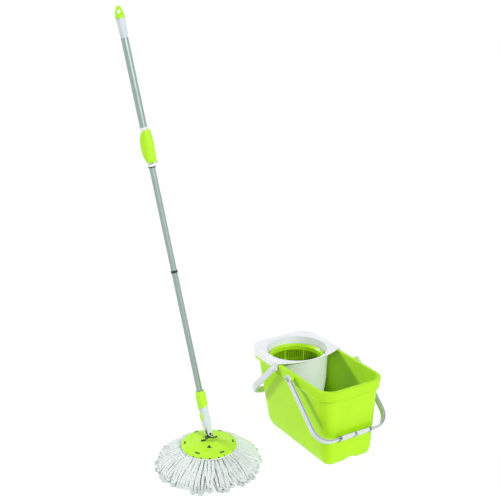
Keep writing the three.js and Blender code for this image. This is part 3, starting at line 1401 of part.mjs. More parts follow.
const pole = assembly([...lowerPole, ...upperPole], {
  position: [0, 0, PIN_SPACING],
  rotation: [0, POLE_ROLL, 0],
});
const swivel = assembly([piece('yoke', makeYoke(), DARK), pole], {
  position: [0, 0, TILT_PIN_Z],
  rotation: [POLE_TILT, 0, 0],
});
const tiltPin = piece('tilt_pin', alongX(rivet(EAR_OUTER + FIT_GAP)), BRIGHT_STEEL);
tiltPin.position.z = TILT_PIN_Z;

const mop = assembly(
  [
    piece('yarn', makeYarn(), YARN),
    piece(
      'refill_ring',
      ring(REFILL_INNER_RADIUS, DISC_RADIUS - 2 * FIT_GAP, REFILL_BOTTOM, REFILL_TOP, ROUND_STEPS),
      WHITE,
    ),
    piece('mop_disc', makeDisc(), MOP_LIME),
    piece('swivel_bracket', makeBracket(), BRIGHT_STEEL),
    ...screws,
    tiltPin,
    swivel,
  ],
  { position: [MOP_X, MOP_Y, 0], rotation: [0, 0, BRACKET_TURN] },
);

const bucket = assembly([
  piece('tub', makeTub(), LIME),
  ...bailPins,
  frontBail,
  piece('insert', makeInsert(), WHITE),
  ...handlePins,
  rearHandle,
  spinning,
]);

export default assembly([bucket, mop]);
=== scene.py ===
"""A spin mop standing beside its bucket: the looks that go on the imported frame. Metres, +Z up."""

import json
import logging
import math
import random
from dataclasses import dataclass
from enum import Enum, StrEnum
from typing import Any, Iterable, Sequence

import bmesh
import bpy
from mathutils import Matrix, Vector, noise


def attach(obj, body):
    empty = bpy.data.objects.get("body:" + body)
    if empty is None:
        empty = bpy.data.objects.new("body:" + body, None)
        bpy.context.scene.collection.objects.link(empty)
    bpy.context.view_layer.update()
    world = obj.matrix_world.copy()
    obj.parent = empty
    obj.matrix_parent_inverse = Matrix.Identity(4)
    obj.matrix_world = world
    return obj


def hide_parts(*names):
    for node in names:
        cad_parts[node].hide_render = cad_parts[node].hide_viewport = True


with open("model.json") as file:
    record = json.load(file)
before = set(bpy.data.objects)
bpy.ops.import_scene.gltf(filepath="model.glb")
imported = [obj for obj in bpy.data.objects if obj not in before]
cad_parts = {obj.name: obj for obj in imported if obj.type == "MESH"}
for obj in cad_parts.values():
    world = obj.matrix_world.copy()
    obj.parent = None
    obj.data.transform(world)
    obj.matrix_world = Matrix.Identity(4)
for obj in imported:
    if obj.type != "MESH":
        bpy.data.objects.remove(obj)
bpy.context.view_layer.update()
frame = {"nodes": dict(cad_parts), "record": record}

LOG = logging.getLogger("spin_mop")

QUARTER = math.pi / 2
TURN = 2 * math.pi
WELD = 1e-6  # corners closer than this are one corner
FLAT = math.radians(1)  # faces that meet at less than this are one face
LEVEL = 0.9  # a face is level when its normal's Z is more than this
SHARP = math.radians(32)  # faces that meet at more than this keep a hard edge
ROUND = 96  # sides of a large turned piece
SMALL_ROUND = 48  # sides of a small one
CORNER_SEGMENTS = 12  # chords of a moulded corner
TINT_SPAN = (0.3, 0.7)  # the part of a noise pattern that the tints are spread over
ROUGH_SPAN = (0.35, 0.7)  # the part that the roughness is spread over

Point = tuple[float, float, float]
Profile = Sequence[tuple[float, float]]
BMesh = bmesh.types.BMesh
BMFace = bmesh.types.BMFace
BMVert = bmesh.types.BMVert
Edges = list[bmesh.types.BMEdge]
NodeTree = bpy.types.NodeTree
Material = bpy.types.Material
Object = bpy.types.Object
Socket = bpy.types.NodeSocket


class Joining(StrEnum):
    """How a tool's shape is put together with a piece."""

    UNION = "UNION"
    DIFFERENCE = "DIFFERENCE"
    INTERSECT = "INTERSECT"


class Body(StrEnum):
    """The moving bodies of the frame that new pieces ride on."""

    BUCKET = "bucket"
    FRONT_BAIL = "front_bail"
    INSERT = "insert"
    REAR_HANDLE = "rear_handle"
    BASKET = "basket"
    REFILL = "refill"
    MOP_HEAD = "mop_head"


# ---------------------------------------------------------------- finishes


def linear(colour: str) -> tuple[float, float, float, float]:
    """Turns an sRGB hex colour into the linear colour that a shader takes.

    Args:
        colour: six hex digits, such as "a8e22c".

    Returns:
        Red, green, blue and an alpha of 1.
    """
    parts = [int(colour[i:i + 2], 16) / 255 for i in (0, 2, 4)]
    bent = [c / 12.92 if c <= 0.04045 else ((c + 0.055) / 1.055) ** 2.4 for c in parts]
    return (*bent, 1.0)


def add_node(
    tree: NodeTree, kind: str, inputs: dict[Any, Any] | None = None, **settings: Any
) -> bpy.types.Node:
    """Adds a shader node with its settings, values and links.

    Args:
        tree: the node tree that it goes into.
        kind: Blender's type name of the node.
        inputs: socket names or numbers, each with a value or with the socket that feeds it.
        settings: properties of the node itself.

    Returns:
        The new node.
    """
    node = tree.nodes.new(kind)
    for name, value in settings.items():
        setattr(node, name, value)
    for socket, value in (inputs or {}).items():
        if isinstance(value, Socket):
            tree.links.new(value, node.inputs[socket])
        else:
            node.inputs[socket].default_value = value
    return node


def blank_material(name: str) -> tuple[Material, NodeTree]:
    """Starts a material with an empty node tree.

    Args:
        name: the material's name.

    Returns:
        The material and its tree.
    """
    material = bpy.data.materials.new(name)
    material.use_nodes = True
    material.node_tree.nodes.clear()
    return material, material.node_tree


class Mixer:
    """A material in the making: its tree, the object's own coordinates and the usual patterns."""

    def __init__(self, name: str) -> None:
        """Starts the material."""
        self.material, self.tree = blank_material(name)
        self.place = add_node(self.tree, "ShaderNodeTexCoord").outputs["Object"]

    def pattern(self, spacing: float, detail: float, place: Socket | None = None) -> Socket:
        """Adds a noise pattern.

        Args:
            spacing: size of its patches in metres.
            detail: how many finer layers lie on it.
            place: its coordinates, if they aren't the object's own.

        Returns:
            The socket that carries it.
        """
        inputs = {"Vector": place or self.place, "Scale": 1 / spacing, "Detail": detail}
        return add_node(self.tree, "ShaderNodeTexNoise", inputs).outputs["Fac"]

    def spread(
        self, factor: Socket, low: float, high: float, span: tuple[float, float]
    ) -> Socket:
        """Spreads a value between two others.

        Args:
            factor: the value.
            low: what its low end becomes.
            high: what its high end becomes.
            span: its low and its high end.

        Returns:
            The socket that carries the result.
        """
        ends = {"From Min": span[0], "From Max": span[1], "To Min": low, "To Max": high}
        inputs = {"Value": factor, **ends}
        return add_node(self.tree, "ShaderNodeMapRange", inputs).outputs["Result"]

    def tint(self, factor: Socket, dark: str, light: str) -> Socket:
        """Spreads a pattern between two colours.

        Args:
            factor: the pattern.
            dark: hex colour at its low end.
            light: hex colour at its high end.

        Returns:
            The socket that carries the colour.
        """
        ramp = add_node(self.tree, "ShaderNodeValToRGB", {"Fac": factor})
        low, high = ramp.color_ramp.elements
        low.position, high.position = TINT_SPAN
        low.color, high.color = linear(dark), linear(light)
        return ramp.outputs["Color"]

    def relief(self, height: Socket, strength: float, depth: float) -> Socket:
        """Turns a pattern into a bumped normal.

        Args:
            height: the pattern.
            strength: how much of it shows, 0 to 1.
            depth: its depth in metres.

        Returns:
            The socket that carries the normal.
        """
        inputs = {"Height": height, "Strength": strength, "Distance": depth}
        return add_node(self.tree, "ShaderNodeBump", inputs).outputs["Normal"]

    def surface(self, **inputs: Any) -> Material:
        """Closes the tree with its shader.

        Args:
            inputs: the shader's inputs, with underscores for spaces.

        Returns:
            The material.
        """
        named = {name.replace("_", " "): value for name, value in inputs.items()}
        shader = add_node(self.tree, "ShaderNodeBsdfPrincipled", named)
        add_node(self.tree, "ShaderNodeOutputMaterial", {"Surface": shader.outputs["BSDF"]})
        return self.material


@dataclass(frozen=True)
class Finish:
    """What a piece is made of: the material's name, its colour slot and its two tints."""

    name: str
    slot: str
    light: str
    dark: str

    def material(self) -> Material:
        """Builds the material once and hands it out again after that."""
        return bpy.data.materials.get(self.name) or self.mix(Mixer(self.name))

    def mix(self, mixer: Mixer) -> Material:
        """Mixes the material. Each kind of finish does it in its own way."""
        raise NotImplementedError


@dataclass(frozen=True)
class Moulded(Finish):
    """Injection-moulded polypropylene: even colour, soft sheen, faint flow and fine mould grain."""

    roughness: float = 0.34
    flow: float = 0.06  # size of the patches that the melt leaves
    grain: float = 0.0012  # spacing of the mould's grain, coarse enough to show
    grain_strength: float = 0.35
    grain_depth: float = 0.00003
    rub: float = 0.015  # size of the handled patches
    scuffs: float = 0.08  # how much rougher the handled patches are
    index: float = 1.49
    gloss: float = 0.22

    def mix(self, mixer: Mixer) -> Material:
        """Mixes the plastic.

        Args:
            mixer: the material in the making.

        Returns:
            The material.
        """
        # Melt cools unevenly, so the colour drifts a little over about 60 mm.
        flow = mixer.pattern(self.flow, 2.0)
        # The mould was spark-eroded, which leaves a fine even grain that breaks up the gloss.
        grain = mixer.pattern(self.grain, 3.0)
        # Handling rubs patches of about 15 mm slightly duller.
        rub = mixer.pattern(self.rub, 4.0)
        return mixer.surface(
            Base_Color=mixer.tint(flow, self.dark, self.light),
            Roughness=mixer.spread(rub, self.roughness, self.roughness + self.scuffs, ROUGH_SPAN),
            Normal=mixer.relief(grain, self.grain_strength, self.grain_depth),
            IOR=self.index,
            Specular_IOR_Level=self.gloss,
        )


class Grain(Enum):
    """How a steel surface was worked, as the stretch of its pattern along X, Y and Z."""

    DRAWN = (1.0, 1.0, 0.012)
    PLATED = (1.0, 1.0, 1.0)


@dataclass(frozen=True)
class Steel(Finish):
    """Stainless or plated steel: fine lines along a drawn tube, or a smooth plated skin."""

    roughness: float
    grain: Grain
    spacing: float = 0.0009  # between the lines of the grain
    strength: float = 0.12
    depth: float = 0.000006
    marks: float = 0.025  # size of the marks
    smear: float = 0.1  # how much rougher the marks are

    def mix(self, mixer: Mixer) -> Material:
        """Mixes the steel.

        Args:
            mixer: the material in the making.

        Returns:
            The material.
        """
        stretch = {"Vector": mixer.place, "Scale": self.grain.value}
        stretched = add_node(mixer.tree, "ShaderNodeMapping", stretch).outputs["Vector"]
        # Drawing and polishing leave hair-fine lines that spread the highlight across the tube.
        lines = mixer.pattern(self.spacing, 3.0, stretched)
        # Finger marks and dried water drops are about 25 mm across.
        marks = mixer.pattern(self.marks, 5.0)
        return mixer.surface(
            Base_Color=mixer.tint(lines, self.dark, self.light),
            Roughness=mixer.spread(marks, self.roughness, self.roughness + self.smear, ROUGH_SPAN),
            Metallic=1.0,
            Normal=mixer.relief(lines, self.strength, self.depth),
        )


@dataclass(frozen=True)
class MicrofibreYarn(Finish):
    """Looped microfibre yarn: matt, fuzzy, twisted from plies, with painted shade between them and
    at the tips.
    """

    ply: float = 0.0045  # rise of one ply of the twist along the strand
    fibre: float = 0.0009  # tufts of fibre
    ply_share: float = 0.6
    fuzz_strength: float = 0.35
    fuzz_depth: float = 0.0006
    roughness: float = 0.95
    gloss: float = 0.15
    sheen: float = 0.25
    sheen_roughness: float = 0.5
    # The grey of the tips is painted shade; it fades out between the two heights below.
    tip: str = "bcc7c5"
    tip_shade_heights: tuple[float, float] = (0.002, 0.022)  # heights between which the grey fades out

    def mix(self, mixer: Mixer) -> Material:
        """Mixes the yarn.

        Args:
            mixer: the material in the making.

        Returns:
            The material.
        """
        # Split fibres stand up in tufts and catch the light unevenly.
        tufts = mixer.pattern(self.fibre, 4.0)
        # The plies of the twist shade each other every few millimetres.
        plies = mixer.pattern(self.ply, 2.0)
        shares = {0: self.ply_share, 2: tufts, 3: plies}
        mixed = add_node(mixer.tree, "ShaderNodeMix", shares, data_type="FLOAT").outputs[0]
        # The looped tips are painted a little grey: painted shade where they lie packed near the
        # floor.
        height = add_node(mixer.tree, "ShaderNodeSeparateXYZ", {"Vector": mixer.place}).outputs["Z"]
        out_of_tip_shade = mixer.spread(height, 0.0, 1.0, self.tip_shade_heights)
        tints = {0: out_of_tip_shade, 6: linear(self.tip), 7: mixer.tint(mixed, self.dark, self.light)}
        return mixer.surface(
            Base_Color=add_node(mixer.tree, "ShaderNodeMix", tints, data_type="RGBA").outputs[2],
            Roughness=self.roughness,
            Normal=mixer.relief(mixed, self.fuzz_strength, self.fuzz_depth),
            Specular_IOR_Level=self.gloss,
            Sheen_Weight=self.sheen,
            Sheen_Roughness=self.sheen_roughness,
        )


BUCKET_LIME = Moulded("moulded_lime_polypropylene", "lime_bucket", "b4e820", "ade41c", 0.3)
# The slats and the wall of the basket take darker copies of the bucket's lime: painted shade inside
# the basket and its slots.
SLAT_LIME_PAINTED_SHADE = Moulded("moulded_basket_lime_polypropylene", "lime_bucket", "98cc18", "91c514", 0.34)
WALL_LIME_PAINTED_DEEP_SHADE = Moulded("moulded_deep_lime_polypropylene", "lime_bucket", "7fae0f", "78a70c", 0.34)
MOP_LIME = Moulded("moulded_light_lime_polypropylene", "mop_lime", "baf03a", "b2ea32", 0.36)
WHITE = Moulded("moulded_white_polypropylene", "white_plastic", "ecf0f2", "e6eaed", 0.34)
# The dish and the well take a brighter, bluer copy of the white: painted light, cancelling the
# green that the lime tub reflects onto them.
WELL_WHITE_PAINTED_LIGHT = Moulded("moulded_cool_white_polypropylene", "white_plastic", "f3f4fc", "edeff6", 0.34)
# The handles and the grip sleeves take a greyer copy of the white: painted shade on handles that
# are white.
HANDLE_WHITE_PAINTED_SHADE = Moulded(
    "moulded_handle_white_polypropylene", "white_plastic", "dbe0e6", "d4d9df", 0.36
)
# The mop's fork and end sleeves take a greyer copy of the white: painted shade.
MOP_WHITE_PAINTED_SHADE = Moulded("moulded_grey_white_polypropylene", "white_plastic", "d3dbdc", "cbd4d5", 0.4)
# Dark nylon for the joint parts; the same colour also paints the shade inside the disc's slots,
# notches and window.
DARK_PLASTIC_AND_PAINTED_SHADE = Moulded("moulded_dark_nylon", "dark_plastic", "3a3f45", "2e3238", 0.42)
RUBBER = Moulded("moulded_dark_rubber", "dark_rubber", "34393f", "2a2e33", 0.6, scuffs=0.15)
GREY_RUBBER = Moulded("moulded_grey_rubber", "dark_rubber", "7f898f", "737d84", 0.55)
TUBE_STEEL = Steel("brushed_stainless_tube", "steel_tube", "a7b7b2", "93a6a0", 0.34, Grain.DRAWN)
PLATED = Steel("bright_plated_steel", "bright_steel", "b4babb", "a2a9aa", 0.3, Grain.PLATED)
# Steel with its colour darkened to paint the dark surroundings that it reflects: a painted
# reflection on the bracket, its screws, the neck and the pins.
STEEL_PAINTED_DARK_REFLECTION = Steel("blackened_steel", "dark_steel", "4d5a55", "3b4642", 0.42, Grain.PLATED)
YARN = MicrofibreYarn("looped_microfibre_yarn", "yarn", "ebf1ef", "d2dad8")


# ---------------------------------------------------------------- the bench


def mesh_of(bm: BMesh, name: str) -> bpy.types.Mesh:
    """Turns a bmesh into a mesh and frees it.

    Args:
        bm: the shape.
        name: the mesh's name.

    Returns:
        The mesh.
    """
    mesh = bpy.data.meshes.new(name)
    bm.to_mesh(mesh)
    bm.free()
    return mesh


def linked(name: str, data: bpy.types.ID) -> Object:
    """Puts a new object into the scene.

    Args:
        name: its name.
        data: its mesh, curve, lamp or camera.

    Returns:
        The object.
    """
    thing = bpy.data.objects.new(name, data)
    bpy.context.collection.objects.link(thing)
    return thing


def worked_out(thing: Object) -> bpy.types.Mesh:
    """Gives the mesh of an object with its modifiers applied."""
    graph = bpy.context.evaluated_depsgraph_get()
    return bpy.data.meshes.new_from_object(thing.evaluated_get(graph))


def smoothed(mesh: bpy.types.Mesh) -> None:
    """Shades a mesh smooth, apart from its hard edges."""
    mesh.polygons.foreach_set("use_smooth", [True] * len(mesh.polygons))
    mesh.set_sharp_from_angle(angle=SHARP)


def finish_piece(
    bm: BMesh,
    name: str,
    finish: Finish,
    body: str,
    replaces: Sequence[str] = (),
    wall: float = 0.0,
    edge: float = 0.0,
    recalc: bool = True,
) -> Object:
    """Turns a shaped bmesh into a smooth, dressed piece that rides on its body.

    Args:
        bm: the shape, in place. It is freed.
        name: the piece's name.
        finish: what it is made of.
        body: the body of the frame that it moves with.
        replaces: CAD nodes that it stands for.
        wall: thickness that is added inwards, or 0.
        edge: radius of its moulded edges, or 0.
        recalc: whether the faces are turned outwards first.

    Returns:
        The finished object.
    """
    bmesh.ops.remove_doubles(bm, verts=bm.verts, dist=WELD)
    if recalc:
        bmesh.ops.recalc_face_normals(bm, faces=bm.faces)
    mesh = mesh_of(bm, name)
    piece = linked(name, mesh)
    mesh.materials.append(finish.material())
    smoothed(mesh)
    if wall:
        shell = piece.modifiers.new("wall", "SOLIDIFY")
        shell.thickness = wall
        shell.offset = -1
        shell.use_even_offset = True
    if edge:
        bevel = piece.modifiers.new("edges", "BEVEL")
        bevel.width = edge
        bevel.segments = 3
        bevel.limit_method = "ANGLE"
        bevel.angle_limit = SHARP
        bevel.harden_normals = True
    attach(piece, str(body))
    if replaces:
        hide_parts(*replaces)
    LOG.info("%s: %d faces on %s", name, len(mesh.polygons), body)
    return piece


def swept(bm: BMesh, geom: Sequence[Any], angle: float, steps: int, **more: Any) -> dict[str, Any]:
    """Spins geometry about an upright axis.

    Args:
        bm: the mesh.
        geom: what is spun.
        angle: how far.
        steps: in how many steps.
        more: other settings, such as the axis's place.

    Returns:
        What the spin made last.
    """
    settings = {"cent": (0, 0, 0), "axis": (0, 0, 1), "dvec": (0, 0, 0), **more}
    return bmesh.ops.spin(bm, geom=geom, angle=angle, steps=steps, **settings)


def spun(profile: Profile, segments: int = ROUND) -> BMesh:
    """Turns a profile about the Z axis.

    Args:
        profile: radius and height of each corner, in order.
        segments: sides of the turned piece.

    Returns:
        The turned shape.
    """
    bm = bmesh.new()
    corners = [bm.verts.new((radius, 0, height)) for radius, height in profile]
    edges = [bm.edges.new(pair) for pair in zip(corners, corners[1:])]
    swept(bm, corners + edges, TURN, segments, use_merge=True, use_duplicate=False)
    bmesh.ops.remove_doubles(bm, verts=bm.verts, dist=WELD)
    return bm


def ring_between(low: Point, high: Point) -> Profile:
    """Gives the closed profile of a ring.

    Args:
        low: height, inner radius and outer radius of its foot.
        high: the same of its top.

    Returns:
        The profile.
    """
    foot = (low[1], low[0])
    return (foot, (low[2], low[0]), (high[2], high[0]), (high[1], high[0]), foot)


def moved(bm: BMesh, matrix: Matrix) -> BMesh:
    """Puts a whole bmesh in its place.

    Args:
        bm: the shape.
        matrix: where it goes.

    Returns:
        The same bmesh.
    """
    bmesh.ops.transform(bm, matrix=matrix, verts=bm.verts)
    return bm


def joined(parts: Iterable[BMesh]) -> BMesh:
    """Gathers several shapes into one bmesh and frees them.

    Args:
        parts: the shapes.

    Returns:
        One bmesh that holds them all.
    """
    whole = bmesh.new()
    for part in parts:
        mesh = mesh_of(part, "part")
        whole.from_mesh(mesh)
        bpy.data.meshes.remove(mesh)
    return whole


def loft(bm: BMesh, loops: Sequence[Edges], capped: bool = False) -> None:
    """Bridges closed loops one after another.

    Args:
        bm: the mesh that holds them.
        loops: the edges of each loop, in order.
        capped: whether the first and the last are closed.
    """
    for lower, upper in zip(loops, loops[1:]):
        bmesh.ops.bridge_loops(bm, edges=lower + upper)
    if capped:
        for loop in (loops[0], loops[-1]):
            bmesh.ops.contextual_create(bm, geom=loop)


def circle_loop(bm: BMesh, centre: Point, half_x: float, half_y: float) -> Edges:
    """Adds a level round or oval loop.

    Args:
        bm: the mesh.
        centre: its middle.
        half_x: half its width.
        half_y: half its length.

    Returns:
        Its edges.
    """
    matrix = Matrix.Translation(centre) @ Matrix.Diagonal((half_x, half_y, 1, 1))
    made = bmesh.ops.create_circle(bm, segments=ROUND, radius=1, matrix=matrix)
    return list({edge for vert in made["verts"] for edge in vert.link_edges})


def round_off(bm: BMesh, corners: Sequence[BMVert], radius: float, segments: int) -> None:
    """Rounds corners of a flat face.

    Args:
        bm: the mesh.
        corners: the corners.
        radius: their radius.
        segments: chords of each.
    """
    bmesh.ops.bevel(
        bm, geom=list(corners), offset=radius, offset_type="OFFSET", affect="VERTICES",
        segments=segments, profile=0.5, material=-1,
    )


def take_outline(bm: BMesh) -> Edges:
    """Takes the faces off a mesh.

    Args:
        bm: the mesh.

    Returns:
        The edges that the faces had.
    """
    edges = [edge for face in bm.faces for edge in face.edges]
    bmesh.ops.delete(bm, geom=list(bm.faces), context="FACES_ONLY")
    return edges


def rounded_loop(
    bm: BMesh,
    corners: Sequence[Point],
    radii: tuple[float, float],
    segments: int = CORNER_SEGMENTS,
) -> Edges:
    """Draws a loop with four rounded corners in a mesh that has no faces.

    Args:
        bm: the mesh.
        corners: the four corners, in order.
        radii: radius of the first two and of the last two.
        segments: chords of each corner.

    Returns:
        The edges of the loop.
    """
    verts = [bm.verts.new(corner) for corner in corners]
    bm.faces.new(verts)
    for pair, radius in zip((verts[:2], verts[2:]), radii):
        round_off(bm, pair, radius, segments)
    return take_outline(bm)


def copy_of(node: str) -> BMesh:
    """Copies a CAD node's mesh and welds it.

    Args:
        node: the node's name.

    Returns:
        The copy.
    """
    bm = bmesh.new()
    bm.from_mesh(frame["nodes"][node].data)
    bmesh.ops.remove_doubles(bm, verts=bm.verts, dist=WELD)
    return bm


def carrier_of(node: str) -> str:
    """Finds the body that a CAD node rides on."""
    bodies = frame["record"]["behaviour"]["bodies"]
    return next(body for body, nodes in bodies.items() if node in nodes)


def merged(piece: Object, tool: BMesh, way: Joining) -> None:
    """Joins a tool's shape to a piece, or cuts it out, and keeps the result.

    Args:
        piece: the piece that is changed.
        tool: the other shape. It is freed.
        way: whether it is joined, cut out, or kept only where both are.
    """
    other = linked("tool", mesh_of(tool, "tool"))
    cut = piece.modifiers.new("cut", "BOOLEAN")
    cut.object = other
    cut.operation = way.value
    cut.solver = "EXACT"
    result = worked_out(piece)
    piece.modifiers.clear()
    piece.data = result
    bpy.data.meshes.remove(other.data)


def on_pin(pivot: tuple[float, float], side: int) -> Matrix:
    """Gives the place of a piece that is turned about a pin's axis, on one side."""
    return Matrix.Translation((0, *pivot)) @ Matrix.Rotation(side * QUARTER, 4, "Y")


# ---------------------------------------------------------------- bucket


@dataclass
class Level:
    """One level outline of the tub: its half width, its reach each way and its corners."""

    z: float
    half_width: float
    front: float
    rear: float
    front_radius: float
    rear_radius: float


@dataclass
class Tub:
    """The lime bucket: drafted walls, a rounded foot, a turned-down rim and a handhold."""

    height: float = 0.260
    half_length: float = 0.218
    half_width: float = 0.119
    rim_radius: float = 0.053
    lip_reach: float = 0.009
    lip_drop: float = 0.033
    lip_taper: float = 0.0036
    lip_bead: float = 0.0011
    lip_round: float = 0.002
    lip_edge: float = 0.0006
    wall: float = 0.0026
    side_draft: float = 0.020
    front_draft: float = 0.010
    rear_draft: float = 0.019
    corner_draft: float = 0.014
    rear_corner_growth: float = 0.043
    foot_height: float = 0.030
    foot_reach: float = 0.011
    foot_radius: float = 0.013
    foot_steps: int = 8
    handhold_half_width: float = 0.026
    handhold_height: float = 0.012
    handhold_depth: float = 0.042
    boss_radius: float = 0.011
    boss_face: float = 0.1302
    boss_edge: float = 0.0008
    pivot: tuple[float, float] = (-0.045, 0.248)
    sliver: float = 1e-4  # the least straight run between two corners
    clear: float = 1e-5  # keeps a cut off the tub's own floor

    def body_level(self, height: float, inset: float, lift: float = 0.0) -> Level:
        """Works out the outline of the body at a height.

        Args:
            height: height on the outer face.
            inset: how far in from the outer face.
            lift: how far the level stands above that height.

        Returns:
            The level.
        """
        fall = 1 - height / self.height
        below = max(0.0, 1 - height / self.foot_height)
        rounding = 1 - math.sqrt(max(0.0, 1 - below * below))
        reach = self.lip_reach + self.foot_reach * rounding + inset
        half_width = self.half_width - reach - self.side_draft * fall
        corner = self.rim_radius - self.lip_reach - self.foot_radius * rounding - inset
        return Level(
            height + lift,
            half_width,
            self.half_length - reach - self.front_draft * fall,
            self.half_length - reach - self.rear_draft * fall,
            corner - self.corner_draft * fall,
            min(corner + self.rear_corner_growth * fall, half_width - self.sliver),
        )

    def lip_level(self, z: float, inset: float) -> Level:
        """Works out the outline of the rim at a height, drawn in by an inset."""
        reach, radius = self.half_length - inset, self.rim_radius - inset
        return Level(z, self.half_width - inset, reach, reach, radius, radius)

    def foot_levels(self, inset: float) -> list[Level]:
        """Lists the levels of the rounded foot.

        Args:
            inset: how far in from the outer face, and how far above its floor.

        Returns:
            The levels from the floor up.
        """
        levels = []
        for step in range(self.foot_steps + 1):
            height = self.foot_height * (1 - math.cos(QUARTER * step / self.foot_steps))
            lift = inset * (1 - height / self.foot_height)
            levels.append(self.body_level(height, inset, lift))
        return levels

    def block(self, top: Sequence[Level]) -> BMesh:
        """Makes the foot as one closed block with what stands on it.

        Args:
            top: the levels that follow above the foot.

        Returns:
            The closed block.
        """
        bm = bmesh.new()
        loops = []
        for level in (*self.foot_levels(0), *top):
            x, y, rear, z = level.half_width, -level.front, level.rear, level.z
            corners = ((-x, y, z), (x, y, z), (x, rear, z), (-x, rear, z))
            loops.append(rounded_loop(bm, corners, (level.front_radius, level.rear_radius)))
        loft(bm, loops, capped=True)
        bmesh.ops.recalc_face_normals(bm, faces=bm.faces)
        return bm

    def shell(self) -> BMesh:
        """Makes the tub with its turned-down rim and its hollow as one closed skin."""
        top = self.height
        under = top - self.wall
        foot = top - self.lip_drop
        rim = (
            (foot + self.lip_edge, self.lip_taper + self.wall),
            (foot, self.lip_taper),
            (foot + self.lip_bead / 2, self.lip_taper - self.lip_bead),
            (foot + 1.5 * self.lip_bead, self.lip_taper),
            (top - 2 * self.lip_round, 0),
            (top - self.lip_round / 2, self.lip_round / 2),
            (top, 2 * self.lip_round),
        )
        return self.block(
            [
                self.body_level(under, 0),
                self.lip_level(under, self.wall),
                *(self.lip_level(z, inset) for z, inset in rim),
                self.body_level(top, self.wall, -self.lip_edge),
                *self.foot_levels(self.wall)[::-1],
            ]
        )

    def arch(self, grow: float) -> BMesh:
        """Makes the round bar that the handhold is cut with.

        Args:
            grow: what is added to its radius and its depth.

        Returns:
            The bar along Y.
        """
        half, height = self.handhold_half_width, self.handhold_height
        radius = (half**2 + height**2) / (2 * height)
        depth = self.handhold_depth + grow
        middle = Matrix.Translation((0, depth / 2 - self.half_length, height - radius))
        bm = bmesh.new()
        bmesh.ops.create_cone(
            bm, cap_ends=True, segments=ROUND, radius1=radius + grow, radius2=radius + grow,
            depth=depth, matrix=middle @ Matrix.Rotation(QUARTER, 4, "X"),
        )
        return bm

    def cover(self) -> BMesh:
        """Makes the skin over the handhold, trimmed to the inside of the tub."""
        skin = self.arch(self.wall)
        bmesh.ops.bisect_plane(
            skin, geom=[*skin.verts, *skin.edges, *skin.faces], plane_co=(0, 0, self.clear),
            plane_no=(0, 0, 1), clear_inner=True,
        )
        bmesh.ops.holes_fill(skin, edges=skin.edges, sides=0)
        cover = finish_piece(skin, "handhold_cover", BUCKET_LIME, Body.BUCKET)
        merged(cover, self.block([self.body_level(self.height / 2, 0)]), Joining.INTERSECT)
        inner = bmesh.new()
        inner.from_mesh(cover.data)
        bpy.data.objects.remove(cover)
        return inner

    def boss(self, side: int) -> BMesh:
        """Makes the round boss that carries the front handle on one side.

        Args:
            side: 1 for the right, -1 for the left.

        Returns:
            The boss in its place.
        """
        root = self.half_width - self.lip_reach - self.wall / 2
        face = self.boss_face
        profile = ((0, root), (self.boss_radius, root), (self.boss_radius, face), (0, face))
        return moved(spun(profile, SMALL_ROUND), on_pin(self.pivot, side))

    def build(self) -> None:
        """Makes the tub and dresses it."""
        piece = finish_piece(self.shell(), "bucket_tub", BUCKET_LIME, Body.BUCKET, ["tub"])
        merged(piece, self.cover(), Joining.UNION)
        merged(piece, self.arch(0), Joining.DIFFERENCE)
        smoothed(piece.data)
        bosses = joined(self.boss(side) for side in (1, -1))
        finish_piece(bosses, "bucket_handle_bosses", BUCKET_LIME, Body.BUCKET, edge=self.boss_edge)


